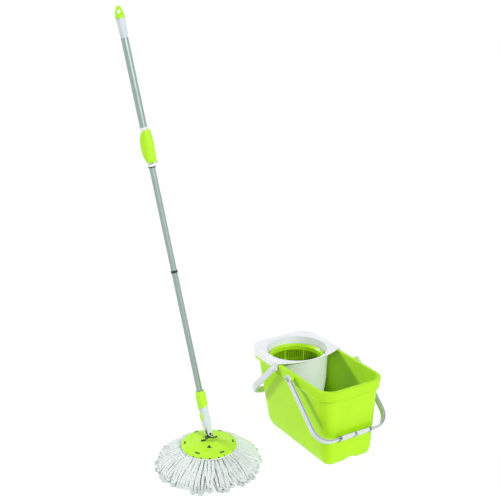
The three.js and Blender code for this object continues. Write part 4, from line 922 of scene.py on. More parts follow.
@dataclass
class StrapHandle:
    """A moulded U-shaped carrying handle, channelled along one edge and hung from two pins."""

    name: str
    node: str
    body: Body
    pin_nodes: tuple[str, str]
    pin_finish: Finish
    half_span: float
    pivot: tuple[float, float]
    reach: float
    corner: float
    hang: float
    side: int
    pin_seat: float
    width: float = 0.020
    thickness: float = 0.007
    edge: float = 0.0007
    flange: float = 0.0015
    channel_depth: float = 0.008
    eye_radius: float = 0.012
    pin_radius: float = 0.004
    pin_edge: float = 0.0005
    head_radius: float = 0.0075
    head_height: float = 0.003
    dimple: tuple[float, float] = (0.4, 0.3)  # rim and bed, as shares of the head's radius
    gap: float = 0.0003
    bend_steps: int = 20

    @property
    def place(self) -> Matrix:
        """Where the handle hangs: at its pivot, turned down by its hang."""
        turn = Matrix.Rotation(-self.side * self.hang, 4, "X")
        return Matrix.Translation((0, *self.pivot)) @ turn

    def section(self, bm: BMesh) -> BMFace:
        """Draws the strap's channelled section at the pivot of the right-hand arm.

        Args:
            bm: the mesh.

        Returns:
            The face that is drawn out into the strap.
        """
        half, thick = self.width / 2, self.thickness / 2
        round_off_by = self.thickness / 4
        inner = self.half_span - thick
        outer = self.half_span + thick
        bed = half - self.channel_depth
        corners = (
            (outer, -half + round_off_by), (outer, half), (outer - self.flange, half),
            (outer - self.flange, bed), (inner + self.flange, bed), (inner + self.flange, half),
            (inner, half), (inner, -half), (outer - round_off_by, -half),
        )
        return bm.faces.new([bm.verts.new((x, 0, z)) for x, z in corners])

    def strap(self) -> BMesh:
        """Draws the section along the arm, round the corner, along the bar and back."""
        bm = bmesh.new()

        def draw(end: BMFace, way: Vector) -> BMFace:
            """Extrudes the end face along a straight run.

            Args:
                end: the end face.
                way: the run.

            Returns:
                The new end face.
            """
            made = bmesh.ops.extrude_face_region(bm, geom=[end])["geom"]
            if end.is_valid:
                bmesh.ops.delete(bm, geom=[end], context="FACES_ONLY")
            corners = [item for item in made if isinstance(item, BMVert)]
            bmesh.ops.translate(bm, vec=way, verts=corners)
            return next(item for item in made if isinstance(item, BMFace))

        def bend(end: BMFace, x: float) -> BMFace:
            """Spins the end face a quarter turn about a corner.

            Args:
                end: the end face.
                x: place of the corner's middle across the handle.

            Returns:
                The new end face.
            """
            made = swept(
                bm, [end], self.side * QUARTER, self.bend_steps, cent=(x, along.y, 0),
                use_merge=False,
            )["geom_last"]
            return next(item for item in made if isinstance(item, BMFace))

        along = Vector((0, self.side * (self.reach - self.corner), 0))
        middle = self.half_span - self.corner
        end = bend(draw(self.section(bm), along), middle)
        end = bend(draw(end, Vector((-2 * middle, 0, 0))), -middle)
        draw(end, -along)
        bmesh.ops.holes_fill(bm, edges=bm.edges, sides=0)
        return bm

    def eye(self, side: int) -> BMesh:
        """Makes the round eye at the end of one arm.

        Args:
            side: 1 for the right, -1 for the left.

        Returns:
            The eye, before the handle is hung.
        """
        thick, bore = self.thickness / 2, self.pin_radius + self.gap
        profile = ring_between((-thick, bore, self.eye_radius), (thick, bore, self.eye_radius))
        shift = Matrix.Translation((side * self.half_span, 0, 0))
        return moved(spun(profile, SMALL_ROUND), shift @ Matrix.Rotation(QUARTER, 4, "Y"))

    def pin(self, side: int) -> BMesh:
        """Makes the headed pin on one side.

        Args:
            side: 1 for the right, -1 for the left.

        Returns:
            The pin in its place.
        """
        face = self.half_span + self.thickness / 2 + self.gap
        crown = self.head_height / 3
        top = face + self.head_height
        rim, bed = (share * self.head_radius for share in self.dimple)
        profile = (
            (0, self.pin_seat), (self.pin_radius, self.pin_seat), (self.pin_radius, face),
            (self.head_radius, face), (self.head_radius, top - crown),
            (self.head_radius - crown, top), (rim, top), (bed, top - crown), (0, top - crown),
        )
        return moved(spun(profile, SMALL_ROUND), on_pin(self.pivot, side))

    def build(self, carrier: Body) -> None:
        """Makes the handle and its pins.

        Args:
            carrier: the body that the pins are fixed to.
        """
        whole = moved(joined([self.strap(), self.eye(1), self.eye(-1)]), self.place)
        # The handle's greyer white is painted shade.
        finish_piece(whole, self.name, HANDLE_WHITE_PAINTED_SHADE, self.body, [self.node], edge=self.edge)
        for side, node in zip((1, -1), self.pin_nodes):
            pin = self.pin(side)
            finish_piece(
                pin, f"{node}_headed", self.pin_finish, carrier, [node], edge=self.pin_edge
            )


@dataclass
class Grip:
    """The padded grip on the bar of the front handle: two sleeves held by three grey rings."""

    handle: StrapHandle
    sleeve_width: float = 0.0492
    ring_width: float = 0.0062
    wall: float = 0.0012
    proud: float = 0.0003
    gap: float = 0.0003
    edge: float = 0.0006
    segments: int = 6

    def band(self, x: float, width: float, grow: float) -> BMesh:
        """Makes one band around the bar.

        Args:
            x: its middle.
            width: its width along the bar.
            grow: how much thicker than the sleeves it is.

        Returns:
            The band in its place.
        """
        out = self.gap + self.wall + grow
        bm = bmesh.new()
        loops = []
        for reach, end in ((out, -1), (out, 1), (self.gap, 1), (self.gap, -1)):
            y, z = self.handle.thickness / 2 + reach, self.handle.width / 2 + reach
            level = x + end * width / 2
            corners = [(level, py, pz) for py, pz in ((-y, -z), (y, -z), (y, z), (-y, z))]
            loops.append(rounded_loop(bm, corners, (reach, reach), self.segments))
        loft(bm, [*loops, loops[0]])
        bar = Matrix.Translation((0, self.handle.side * self.handle.reach, 0))
        return moved(bm, self.handle.place @ bar)

    def build(self) -> None:
        """Makes the rings and the sleeves."""
        pitch = self.ring_width + self.sleeve_width + 2 * self.gap
        rings = ((-1, "left"), (0, "middle"), (1, "right"))
        sleeves = ((-0.5, "left"), (0.5, "right"))
        for row, width, grow, finish, made, node in (
            (rings, self.ring_width, self.proud, GREY_RUBBER, "grip_band", "grip_ring"),
            # The sleeves' greyer white is painted shade.
            (sleeves, self.sleeve_width, 0, HANDLE_WHITE_PAINTED_SHADE, "grip_cover", "grip_sleeve"),
        ):
            for share, side in row:
                finish_piece(
                    self.band(share * pitch, width, grow), f"{made}_{side}", finish,
                    self.handle.body, [f"{node}_{side}"], edge=self.edge,
                )


@dataclass
class Insert:
    """The white lift-out insert: a plate with a skirt, an oval dish and the basket's well."""

    tub: Tub
    wall: float = 0.0022
    gap: float = 0.0006
    edge: float = 0.0009
    top: float = 0.2629
    skirt_drop: float = 0.0226
    front_mid_y: float = 0.004
    front_side_y: float = 0.036
    front_steps: int = 32
    spin_y: float = 0.105
    dish: tuple[float, float] = (0.104, 0.0974)  # half width and half length
    dish_bottom: float = 0.246
    shoulder: float = 0.012
    well: tuple[float, float] = (0.1025, 0.0966)
    waist: Point = (0.160, 0.1000, 0.0945)  # its height, half width and half length
    well_foot_radius: float = 0.0918
    well_foot_round: tuple[float, float] = (0.006, 0.005)  # rise and draw of its rounded edge
    well_bottom: float = 0.1064
    boss_radius: float = 0.015
    boss_top: float = 0.119

    def build(self) -> None:
        """Makes the insert as two sheets and gives them their wall."""
        self.dress(self.plate(), "insert_plate", WHITE)
        # The bluer white of the dish and the well is painted light against the tub's green
        # reflection.
        self.dress(self.dish_and_well(), "insert_dish_and_well", WELL_WHITE_PAINTED_LIGHT)

    def dress(self, bm: BMesh, name: str, finish: Finish) -> None:
        """Turns a sheet so that its highest level face looks up, and finishes it.

        Args:
            bm: the sheet.
            name: the piece's name.
            finish: what it is made of.
        """
        bmesh.ops.recalc_face_normals(bm, faces=bm.faces)
        level = [face for face in bm.faces if abs(face.normal.z) > LEVEL]
        if max(level, key=lambda face: face.calc_center_median().z).normal.z < 0:
            bmesh.ops.reverse_faces(bm, faces=bm.faces)
        finish_piece(
            bm, name, finish, Body.INSERT, ["insert"], wall=self.wall, edge=self.edge,
            recalc=False,
        )

    def plate(self) -> BMesh:
        """Makes the plate: curved in front, rounded behind, with a skirt and the dish's hole."""
        reach = self.gap + self.wall
        side, rear = self.tub.half_width + reach, self.tub.half_length + reach
        rise = self.front_side_y - self.front_mid_y
        sweep = (side**2 + rise**2) / (2 * rise)
        centre = Vector((0, self.front_mid_y + sweep, self.top))
        bm = bmesh.new()
        start = bm.verts.new((-side, self.front_side_y, self.top))
        angle = 2 * math.asin(side / sweep)
        swept(bm, [start], angle, self.front_steps, cent=centre, use_merge=False)
        end = max(bm.verts, key=lambda vert: vert.co.x)
        corners = [bm.verts.new((x, rear, self.top)) for x in (side, -side)]
        run = [end, *corners, start]
        for pair in zip(run, run[1:]):
            bm.edges.new(pair)
        bmesh.ops.contextual_create(bm, geom=bm.edges)
        round_off(bm, corners, self.tub.rim_radius + reach, 2 * CORNER_SEGMENTS)
        rim = take_outline(bm)
        skirted = [
            edge
            for edge in rim
            if any(abs((vert.co - centre).length - sweep) > 10 * WELD for vert in edge.verts)
        ]
        hole = circle_loop(bm, (0, self.spin_y, self.top), *self.dish)
        bmesh.ops.triangle_fill(bm, edges=rim + hole, use_beauty=True, normal=(0, 0, 1))
        skirt = bmesh.ops.extrude_edge_only(bm, edges=skirted)["geom"]
        lower = [item for item in skirt if isinstance(item, BMVert)]
        bmesh.ops.translate(bm, vec=(0, 0, -self.skirt_drop), verts=lower)
        return bm

    def dish_and_well(self) -> BMesh:
        """Makes the dish and the well that hangs from it, with the boss in its floor."""
        bm = bmesh.new()
        foot, (rise, draw) = self.well_foot_radius, self.well_foot_round
        levels = (
            (self.top - self.gap, *self.dish),
            (self.dish_bottom, *self.well),
            (self.dish_bottom - self.shoulder, *self.well),
            self.waist,
            (self.well_bottom + rise, foot, foot),
            (self.well_bottom, foot - draw, foot - draw),
            (self.well_bottom, self.boss_radius, self.boss_radius),
            (self.boss_top, self.boss_radius, self.boss_radius),
        )
        loops = [circle_loop(bm, (0, self.spin_y, z), *halves) for z, *halves in levels]
        loft(bm, loops)
        bmesh.ops.contextual_create(bm, geom=loops[-1])
        return bm


@dataclass
class Basket:
    """The spinning basket: a drafted wall of fine upright slots under a stout ring."""

    spin_y: float = 0.105
    ring_radius: float = 0.093
    ring_top: float = 0.240
    ring_drop: float = 0.009
    ring_step: float = 0.0014
    neck_radius: float = 0.087
    foot_radius: float = 0.079
    wall: float = 0.0024
    edge: float = 0.0006
    floor_z: float = 0.128
    floor: float = 0.003
    slot_bottom: float = 0.150
    slot_top: float = 0.220
    slats: int = 80
    slat_width: float = 0.0030
    slat_back: float = 0.0056
    slack: float = 0.0005  # how far the bars run into what holds them
    ribs: int = 8
    rib_turn: float = math.radians(40)
    rib_width: float = 0.004
    rib_proud: float = 0.0014
    hoop_bottom: float = 0.184
    hoop_top: float = 0.193
    hub_radius: float = 0.016
    hub_top: float = 0.158
    cap_radius: float = 0.012
    cap_height: float = 0.006
    cap_gap: float = 0.0003
    cap_round: float = 0.0024
    cap_edge: float = 0.0008

    def radius(self, z: float) -> float:
        """Gives the radius of the wall's outer face.

        Args:
            z: the height.

        Returns:
            The radius.
        """
        bottom = self.floor_z - self.floor
        rise = (z - bottom) / (self.ring_top - self.ring_drop - bottom)
        return self.foot_radius + (self.neck_radius - self.foot_radius) * rise

    def inner(self, z: float) -> float:
        """Gives the radius of the wall's inner face at a height."""
        return self.radius(z) - self.wall

    def bars(
        self, count: int, low: float, high: float, width: float, proud: float, back: float = 0.0
    ) -> BMesh:
        """Makes upright bars at equal turns round the wall.

        Args:
            count: how many there are.
            low: height of their feet.
            high: height of their tops.
            width: their width round the wall.
            proud: how far they stand in from the wall's inner face.
            back: how far they stand out from the wall's outer face.

        Returns:
            All of them in one bmesh.
        """
        bm = bmesh.new()
        bmesh.ops.create_cube(bm, size=1)
        for vert in bm.verts:
            z = high if vert.co.z > 0 else low
            radius = self.radius(z) + back if vert.co.x > 0 else self.inner(z) - proud
            vert.co = (radius, vert.co.y * width, z)
        geom = [*bm.verts, *bm.edges, *bm.faces]
        swept(bm, geom, TURN * (count - 1) / count, count - 1, use_duplicate=True)
        return moved(bm, Matrix.Rotation(self.rib_turn, 4, "Z"))

    def wall_bands(self) -> BMesh:
        """Makes the floor, the low band, the hoop, the hub and a thin sheet behind the slots that
        fills them with painted shade.
        """
        low, high = self.slot_bottom, self.slot_top
        bottom = self.floor_z - self.floor
        hub = self.hub_radius
        floor = (
            (hub, bottom), (self.foot_radius, bottom), (self.radius(low), low),
            (self.inner(low), low), (self.foot_radius - self.wall, self.floor_z),
            (hub, self.floor_z), (hub, bottom),
        )
        hoop = [(z, self.inner(z), self.radius(z)) for z in (self.hoop_bottom, self.hoop_top)]
        back = self.slat_back
        out = back - self.wall / 4
        # The thin sheet just outside the slats closes the slots with the darker lime: painted shade
        # where the slots are open.
        skin = [(z, self.radius(z) + out, self.radius(z) + back) for z in (low, high)]
        tube = [(z, hub - self.wall, hub) for z in (bottom, self.hub_top)]
        return joined(
            (
                spun(floor),
                spun(ring_between(*hoop)),
                spun(ring_between(*skin)),
                spun(ring_between(*tube), SMALL_ROUND),
            )
        )

    def ring(self) -> BMesh:
        """Makes the neck of the wall with the stout ring round it."""
        neck = self.ring_top - self.ring_drop
        edge = self.ring_drop / 3
        inner = self.neck_radius - self.wall
        root = (self.inner(self.slot_top), self.slot_top)
        return spun(
            (
                root, (self.radius(self.slot_top), self.slot_top), (self.neck_radius, neck),
                (self.ring_radius, neck), (self.ring_radius, self.ring_top - edge),
                (self.ring_radius - edge, self.ring_top),
                (self.neck_radius + self.wall, self.ring_top),
                (inner - self.ring_step, neck + self.ring_step), (inner - self.ring_step, neck),
                (inner, neck), root,
            )
        )

    def cap(self) -> BMesh:
        """Makes the cap of the hub."""
        foot = self.hub_top + self.cap_gap
        top = foot + self.cap_height
        profile = (
            (0, foot), (self.cap_radius, foot), (self.cap_radius, top - self.cap_round),
            (self.cap_radius - self.cap_round, top), (0, top),
        )
        return spun(profile, SMALL_ROUND)

    def build(self) -> None:
        """Makes the basket and the cap of its hub."""
        low, high = self.slot_bottom - self.slack, self.slot_top + self.slack
        neck = self.ring_top - self.ring_drop
        slats = self.bars(self.slats, low, high, self.slat_width, -self.slack / 2, self.slat_back)
        ribs = self.bars(self.ribs, self.floor_z - self.slack, neck, self.rib_width, self.rib_proud)
        ring = joined((self.ring(), ribs))
        for part, name, finish, node, edge in (
            (ring, "basket_ring_and_ribs", BUCKET_LIME, "basket", self.edge),
            # The wall and the slats take the darker limes: painted shade.
            (self.wall_bands(), "basket_wall", WALL_LIME_PAINTED_DEEP_SHADE, "basket", 0),
            (slats, "basket_slats", SLAT_LIME_PAINTED_SHADE, "basket", 0),
            (self.cap(), "basket_hub_cap_turned", WHITE, "basket_hub_cap", self.cap_edge),
        ):
            place = Matrix.Translation((0, self.spin_y, 0))
            finish_piece(moved(part, place), name, finish, Body.BASKET, [node], edge=edge)


# ---------------------------------------------------------------- mop head


@dataclass
class MopDisc:
    """The lime disc that the refill clips to: a shallow dome with slots and a notched lip."""

    centre: tuple[float, float] = (-0.387, 0.008)
    turn: float = math.radians(-3)
    radius: float = 0.085
    lip_bottom: float = 0.068
    notch_top: float = 0.071
    lip_top: float = 0.073
    lip_round: float = 0.0012
    crown: float = 0.087
    flat_radius: float = 0.033
    dome_rings: tuple[float, ...] = (
        0.012, 0.024, 0.050, 0.056, 0.062, 0.068, 0.080, 0.0835, 0.0846
    )
    wall: float = 0.003
    edge: float = 0.0005
    gap: float = 0.0004
    segments: int = 180
    slot_count: int = 6
    slot_first: float = math.radians(36)
    slot_radius: float = 0.0735
    slot_width: float = 0.0045
    slot_length: float = 0.015
    notch_count: int = 20
    notch_first: float = math.radians(-6)
    notch_width: float = 0.005
    lobes: int = 3
    lobe_turn: float = math.radians(8)
    lobe_depth: float = 0.0048
    lobe_reach: tuple[float, float] = (0.026, 0.072)  # radii between which they lie
    lobe_power: float = 1.5  # more makes them narrower
    window_angle: float = math.radians(-118)
    window_radius: float = 0.0375
    window_width: float = 0.006
    window_length: float = 0.008
    # The clip hooks are dark and nearly fill the slots, so they also paint the shade in them.
    hook: Point = (0.0036, 0.0120, 0.0014)  # across, along its slot, and proud of the dome
    # Dark blocks behind some of the notches and under the window paint the shade inside them.
    notch_shade_block: Point = (0.0030, 0.0030, 0.0046)  # depth, width and height
    notch_shade_angles: tuple[float, ...] = (-149, -132, -114, -96, -83, -57)
    window_shade_block: Point = (0.012, 0.014, 0.0824)  # across, along, and the height of its middle
    clip_edge: float = 0.0004

    @property
    def place(self) -> Matrix:
        """Where the disc's axis stands."""
        return Matrix.Translation((*self.centre, 0)) @ Matrix.Rotation(self.turn, 4, "Z")

    def height(self, radius: float) -> float:
        """Gives the height of the dome at a radius."""
        beyond = max(0.0, radius - self.flat_radius) / (self.radius - self.flat_radius)
        return self.crown - (self.crown - self.lip_top) * beyond**2

    def profile(self) -> Profile:
        """Lists the dome's profile, with a corner at each edge of its slots and window."""
        slot, window = self.slot_width / 2, self.window_length / 2
        edges = (
            self.window_radius - window, self.window_radius + window,
            self.slot_radius - slot, self.slot_radius + slot,
        )
        radii = sorted({self.flat_radius, *self.dome_rings, *edges})
        return (
            (0, self.crown), *((radius, self.height(radius)) for radius in radii),
            (self.radius, self.lip_top - self.lip_round), (self.radius, self.notch_top),
            (self.radius, self.lip_bottom),
        )

    def opening(self, face: BMFace) -> bool:
        """Tells whether a face of the dome lies where a slot, notch or window is.

        Args:
            face: a face of the dome about the Z axis.

        Returns:
            Whether it is left open.
        """
        middle = face.calc_center_median()
        angle = math.atan2(middle.y, middle.x)
        radius = math.hypot(middle.x, middle.y)

        def near(count: int, first: float, width: float) -> bool:
            """Tells whether the face lies within one of some equal openings.

            Args:
                count: how many there are round the disc.
                first: angle of the first.
                width: their width round the disc.

            Returns:
                Whether it does.
            """
            pitch = TURN / count
            off = (angle - first + pitch / 2) % pitch - pitch / 2
            return abs(off) * radius < width / 2

        if middle.z < self.notch_top:
            return near(self.notch_count, self.notch_first, self.notch_width)
        if abs(radius - self.slot_radius) < self.slot_width / 2:
            return near(self.slot_count, self.slot_first, self.slot_length)
        if abs(radius - self.window_radius) < self.window_length / 2:
            return near(1, self.window_angle - self.turn, self.window_width)
        return False

    def blocks(
        self, angles: Iterable[float], radius: float, middle: float, size: tuple[float, ...]
    ) -> BMesh:
        """Makes equal blocks round the disc's axis.

        Args:
            angles: where they stand.
            radius: how far out.
            middle: height of their middles.
            size: their depth, width and height.

        Returns:
            All of them in one bmesh, in place.
        """
        bm = bmesh.new()
        block = Matrix.Translation((radius, 0, middle)) @ Matrix.Diagonal((*size, 1))
        for angle in angles:
            bmesh.ops.create_cube(bm, size=1, matrix=Matrix.Rotation(angle, 4, "Z") @ block)
        return moved(bm, self.place)

    def shade_blocks(self) -> BMesh:
        """Makes the dark blocks behind the notches and under the window, which paint the shade
        inside them.
        """
        depth, _, height = self.notch_shade_block
        out, middle = self.radius - depth / 2 + self.gap, self.lip_bottom + height / 2 + self.gap
        angles = (math.radians(angle) for angle in self.notch_shade_angles)
        *spread, top = self.window_shade_block
        turn, flat = self.window_angle - self.turn, (*spread, self.wall)
        return joined(
            (
                self.blocks(angles, out, middle, self.notch_shade_block),
                self.blocks((turn,), self.window_radius, top, flat),
            )
        )

    def hooks(self) -> BMesh:
        """Makes the dark clip hooks that stand up in the slots and nearly fill them, painting the
        slots' shade too.
        """
        *spread, proud = self.hook
        top = self.height(self.slot_radius) + proud
        size = (*spread, top - self.lip_top)
        angles = (self.slot_first + TURN * i / self.slot_count for i in range(self.slot_count))
        return self.blocks(angles, self.slot_radius, (self.lip_top + top) / 2, size)

    def press_lobes(self, bm: BMesh) -> None:
        """Presses the three shallow lobes into the dome.

        Args:
            bm: the dome about the Z axis.
        """
        start, stop = self.lobe_reach
        for vert in bm.verts:
            share = (math.hypot(vert.co.x, vert.co.y) - start) / (stop - start)
            if 0 < share < 1:
                angle = math.atan2(vert.co.y, vert.co.x) + self.turn - self.lobe_turn
                lobe = (0.5 + 0.5 * math.cos(self.lobes * angle)) ** self.lobe_power
                vert.co.z -= self.lobe_depth * lobe * math.sin(math.pi * share) ** 2

    def build(self) -> None:
        """Makes the disc with its lobes, its slots, its notches and its hooks."""
        bm = spun(self.profile(), self.segments)
        open_faces = [face for face in bm.faces if self.opening(face)]
        bmesh.ops.delete(bm, geom=open_faces, context="FACES")
        self.press_lobes(bm)
        finish_piece(
            moved(bm, self.place), "mop_disc_domed", MOP_LIME, Body.MOP_HEAD, ["mop_disc"],
            wall=self.wall, edge=self.edge,
        )
        # The hooks and the blocks are dark: painted shade in the slots, notches and window.
        for part, name in ((self.hooks(), "clip_hooks"), (self.shade_blocks(), "clip_catches")):
            finish_piece(part, name, DARK_PLASTIC_AND_PAINTED_SHADE, Body.MOP_HEAD, edge=self.clip_edge)


@dataclass
class SwivelBracket:
    """The bracket on the disc: two bent steel legs that cross under the tilt pin, screwed down."""

    disc: MopDisc
    width: float = 0.0056
    steel: float = 0.0018
    edge: float = 0.0003
    screw_radius: float = 0.0026
    screw_height: float = 0.0016
    screw_share: float = 0.86  # how far out along its leg a screw stands
    screw_edge: float = 0.0002
    screw_sides: int = 32
    neck_share: float = 0.5
    neck_edge: float = 0.0004
    left: Profile = ((-0.0265, 0.0884), (-0.0130, 0.0888), (-0.0010, 0.0962), (0.0050, 0.1035))
    right: Profile = ((0.0285, 0.0884), (0.0120, 0.0884), (0.0010, 0.0940), (-0.0075, 0.1035))

    def leg(self, path: Profile, y: float) -> BMesh:
        """Bends one leg along its path.

        Args:
            path: where it runs, as reach along the bracket and height.
            y: how far beside the middle it runs.

        Returns:
            The leg.
        """
        bm = bmesh.new()
        across, half = self.width / 2, self.steel / 2
        loops = []
        for x, z in path:
            near, far, low, high = y - across, y + across, z - half, z + half
            section = ((near, low), (far, low), (far, high), (near, high))
            corners = [bm.verts.new((x, *corner)) for corner in section]
            loops.append([bm.edges.new(pair) for pair in zip(corners, corners[1:] + corners[:1])])
        loft(bm, loops, capped=True)
        return bm

    def screw(self, x: float) -> BMesh:
        """Makes one round screw head on a leg.

        Args:
            x: its reach along the bracket.

        Returns:
            The screw head, before the bracket is turned.
        """
        foot = self.left[0][1] + self.steel / 2 + self.disc.gap
        top, radius = foot + self.screw_height, self.screw_radius
        shoulder = top - radius / 3
        profile = ((0, foot), (radius, foot), (radius, shoulder), (radius / 2, top), (0, top))
        return moved(spun(profile, self.screw_sides), Matrix.Translation((x, 0, 0)))

    def neck(self) -> BMesh:
        """Makes the slender block between the two crossed pins."""
        slim = Matrix.Diagonal((self.neck_share, self.neck_share, 1, 1))
        return moved(copy_of("yoke"), self.disc.place @ slim @ self.disc.place.inverted())

    def build(self) -> None:
        """Makes the neck, the two legs under it and their two screws."""
        side = self.width / 4
        legs = joined((self.leg(self.left, -side), self.leg(self.right, side)))
        place = self.disc.place
        for part, name, node, edge in (
            (self.neck(), "yoke_neck", "yoke", self.neck_edge),
            (moved(legs, place), "swivel_bracket_bent", "swivel_bracket", self.edge),
        ):
            # The darkened steel is a painted reflection.
            finish_piece(part, name, STEEL_PAINTED_DARK_REFLECTION, carrier_of(node), [node], edge=edge)
        for side, (end, _) in (("left", self.left[0]), ("right", self.right[0])):
            screw, node = moved(self.screw(end * self.screw_share), place), f"bracket_screw_{side}"
            # The screws' darkened steel is a painted reflection.
            finish_piece(
                screw, f"{node}_turned", STEEL_PAINTED_DARK_REFLECTION, carrier_of(node), [node],
                edge=self.screw_edge,
            )


@dataclass
class Loop:
    """How one loop of yarn lies: where it starts and ends, how deep, and how it sways."""

    start: float
    end: float
    tip: float
    sink: float
    sway: float
    waves: float
    phase: float


@dataclass
class YarnRefill:
    """The white refill: soft looped strands that fall in tufts from a ring to the floor."""

    centre: tuple[float, float] = (-0.387, 0.008)
    strand: float = 0.0046  # radius of a strand
    root_radius: float = 0.072
    reach: float = 0.165
    spread: float = 0.013
    longest: float = 0.183
    lean: float = 0.006  # how much further the tips reach on the side that the head leans to
    lean_angle: float = math.radians(205)
    sink: float = 0.026
    sink_power: float = 1.4
    loops: int = 150
    layers: float = 0.618  # step from one loop's depth to the next, so that neighbours differ
    tufts: int = 40
    gather: float = 0.55  # how far a loop's tip is drawn to the middle of its tuft
    stray: float = 0.5  # how far a tuft is pushed aside, as a share of its width
    stray_field: tuple[float, float] = (5, 0.7)  # scale and height of the noise behind it
    clump_field: tuple[float, float] = (3.1, 0)
    ragged: float = 0.4  # how unevenly the tips end, as a share of the spread
    aside: float = 0.02  # turn by which a tip strays from its tuft
    sways: tuple[float, float] = (0.0015, 0.0060)  # least and most sway of a leg
    waves: tuple[float, float] = (3.5, 7.5)  # least and most turn of a leg's wave
    bob: float = 0.4  # share of the sway that goes up and down
    bulge: float = 0.3  # how much further apart the legs lie halfway down
    curl: float = 1.3  # more makes a leg bend towards its tuft later
    cover: float = 0.6  # how far beyond a strand's middle its slope is read
    rest: float = 0.0004  # between the lowest strands and the floor
    tip_turn: tuple[float, float] = (0.3, 0.75)  # how far the bend's shoulders go in and out
    seed: int = 7
    twist: float = TURN / 0.060  # turn of the plies for each metre of strand
    plies: int = 3
    ply_depth: float = 0.03
    steps: int = 25
    hull: Profile = (
        (0.085, 0.0674), (0.0915, 0.0674), (0.1174, 0.0573), (0.1458, 0.0371), (0.1636, 0.0189),
        (0.1740, 0.0102),
    )

    def ceiling(self, radius: float) -> float:
        """Gives the highest the yarn stands at a radius, on the slope from disc to floor.

        Args:
            radius: distance from the mop's axis.

        Returns:
            The height of the slope.
        """
        if radius <= self.hull[0][0]:
            return self.hull[0][1]
        for (r0, z0), (r1, z1) in zip(self.hull, self.hull[1:]):
            if radius <= r1:
                return z0 + (z1 - z0) * (radius - r0) / (r1 - r0)
        return self.hull[-1][1]

    def lay(self, rng: random.Random, number: int) -> Loop:
        """Decides how one loop lies: neighbours gather in tufts that reach out together.

        Args:
            rng: the source of its wander.
            number: which loop it is.

        Returns:
            The loop.
        """

        def drift(angle: float, field: tuple[float, float]) -> float:
            """Gives the slow wander of a field at an angle, -1 to 1."""
            scale, slice_at = field
            return noise.noise(Vector((scale * math.cos(angle), scale * math.sin(angle), slice_at)))

        pitch = TURN / self.tufts
        start = TURN * number / self.loops + rng.uniform(-0.5, 0.5) * TURN / self.loops
        tuft = round(start / pitch) * pitch
        tuft += self.stray * pitch * drift(tuft, self.stray_field)
        depth = (number * self.layers) % 1
        ragged = rng.uniform(-self.ragged, self.ragged) - depth / 2
        tip = self.reach + self.spread * (drift(tuft, self.clump_field) + ragged)
        tip += self.lean * math.cos(tuft - self.lean_angle)
        return Loop(
            start=start,
            end=start + (tuft - start) * self.gather + rng.uniform(-self.aside, self.aside),
            tip=min(self.longest, tip),
            sink=self.sink * depth**self.sink_power,
            sway=rng.uniform(*self.sways),
            waves=rng.uniform(*self.waves),
            phase=rng.uniform(0, TURN),
        )

    def leg(self, loop: Loop, side: float) -> list[Vector]:
        """Lays one leg of a loop from its root to just short of its tip.

        Args:
            loop: how the loop lies.
            side: which leg, -1 or 1.

        Returns:
            The points of its middle line.
        """
        points = []
        run = loop.tip - 2 * self.strand - self.root_radius
        for step in range(self.steps):
            share = step / (self.steps - 1)
            radius = self.root_radius + run * share
            wave = math.sin(loop.phase + loop.waves * share)
            slope = self.ceiling(radius + self.cover * self.strand) - self.strand - loop.sink
            height = slope + self.bob * loop.sway * (wave - 1)
            apart = side * self.strand * (1 + self.bulge * math.sin(math.pi * share))
            across = apart + loop.sway * wave * share
            angle = loop.start + (loop.end - loop.start) * share**self.curl + across / radius
            x, y = radius * math.cos(angle), radius * math.sin(angle)
            points.append(Vector((x, y, max(self.strand + self.rest, height))))
        return points

    def build(self) -> None:
        """Makes every loop as a twisted three-ply strand and turns them into one mesh."""
        rng = random.Random(self.seed)
        curve = bpy.data.curves.new("yarn_lines", "CURVE")
        curve.dimensions = "3D"
        curve.twist_mode = "MINIMUM"
        inwards, outwards = self.tip_turn
        for number in range(self.loops):
            loop = self.lay(rng, number)
            out, back = self.leg(loop, -1), self.leg(loop, 1)[::-1]
            middle = (out[-1] + back[0]) / 2
            outward = Vector((middle.x, middle.y, 0)).normalized() * self.strand
            bend = [out[-1].lerp(middle, inwards) + outwards * outward, middle + outward]
            bend.append(back[0].lerp(middle, inwards) + outwards * outward)
            self.add_strand(curve, [*out, *bend, *back])
        section = self.ply_section()
        curve.bevel_mode = "OBJECT"
        curve.bevel_object = section
        lines = linked("yarn_lines", curve)
        mesh = worked_out(lines)
        bpy.data.objects.remove(lines)
        bpy.data.objects.remove(section)
        bm = bmesh.new()
        bm.from_mesh(mesh)
        bpy.data.meshes.remove(mesh)
        bmesh.ops.holes_fill(bm, edges=bm.edges, sides=0)
        place = Matrix.Translation((*self.centre, 0))
        finish_piece(moved(bm, place), "yarn_loops", YARN, Body.REFILL, ["yarn"])

    def add_strand(self, curve: bpy.types.Curve, points: list[Vector]) -> None:
        """Adds one smooth strand to the curve, with the twist of its plies.

        Args:
            curve: the curve that holds the strands.
            points: its middle line.
        """
        spline = curve.splines.new("POLY")
        spline.points.add(len(points) - 1)
        run = 0.0
        for i, point in enumerate(points):
            run += (point - points[i - 1]).length if i else 0.0
            spline.points[i].co = (*point, 1)
            spline.points[i].tilt = run * self.twist
            spline.points[i].radius = 1.0
        spline.use_smooth = True

    def ply_section(self) -> Object:
        """Draws the section of a strand: a ring with one lobe for each ply."""
        corners = 3 * self.plies
        line = bpy.data.curves.new("ply_section", "CURVE")
        line.dimensions = "2D"
        spline = line.splines.new("POLY")
        spline.points.add(corners - 1)
        for i in range(corners):
            angle = TURN * i / corners
            radius = self.strand * (1 - self.ply_depth * (1 - math.cos(self.plies * angle)))
            spline.points[i].co = (radius * math.cos(angle), radius * math.sin(angle), 0, 1)
        spline.use_cyclic_u = True
        return linked("ply_section", line)


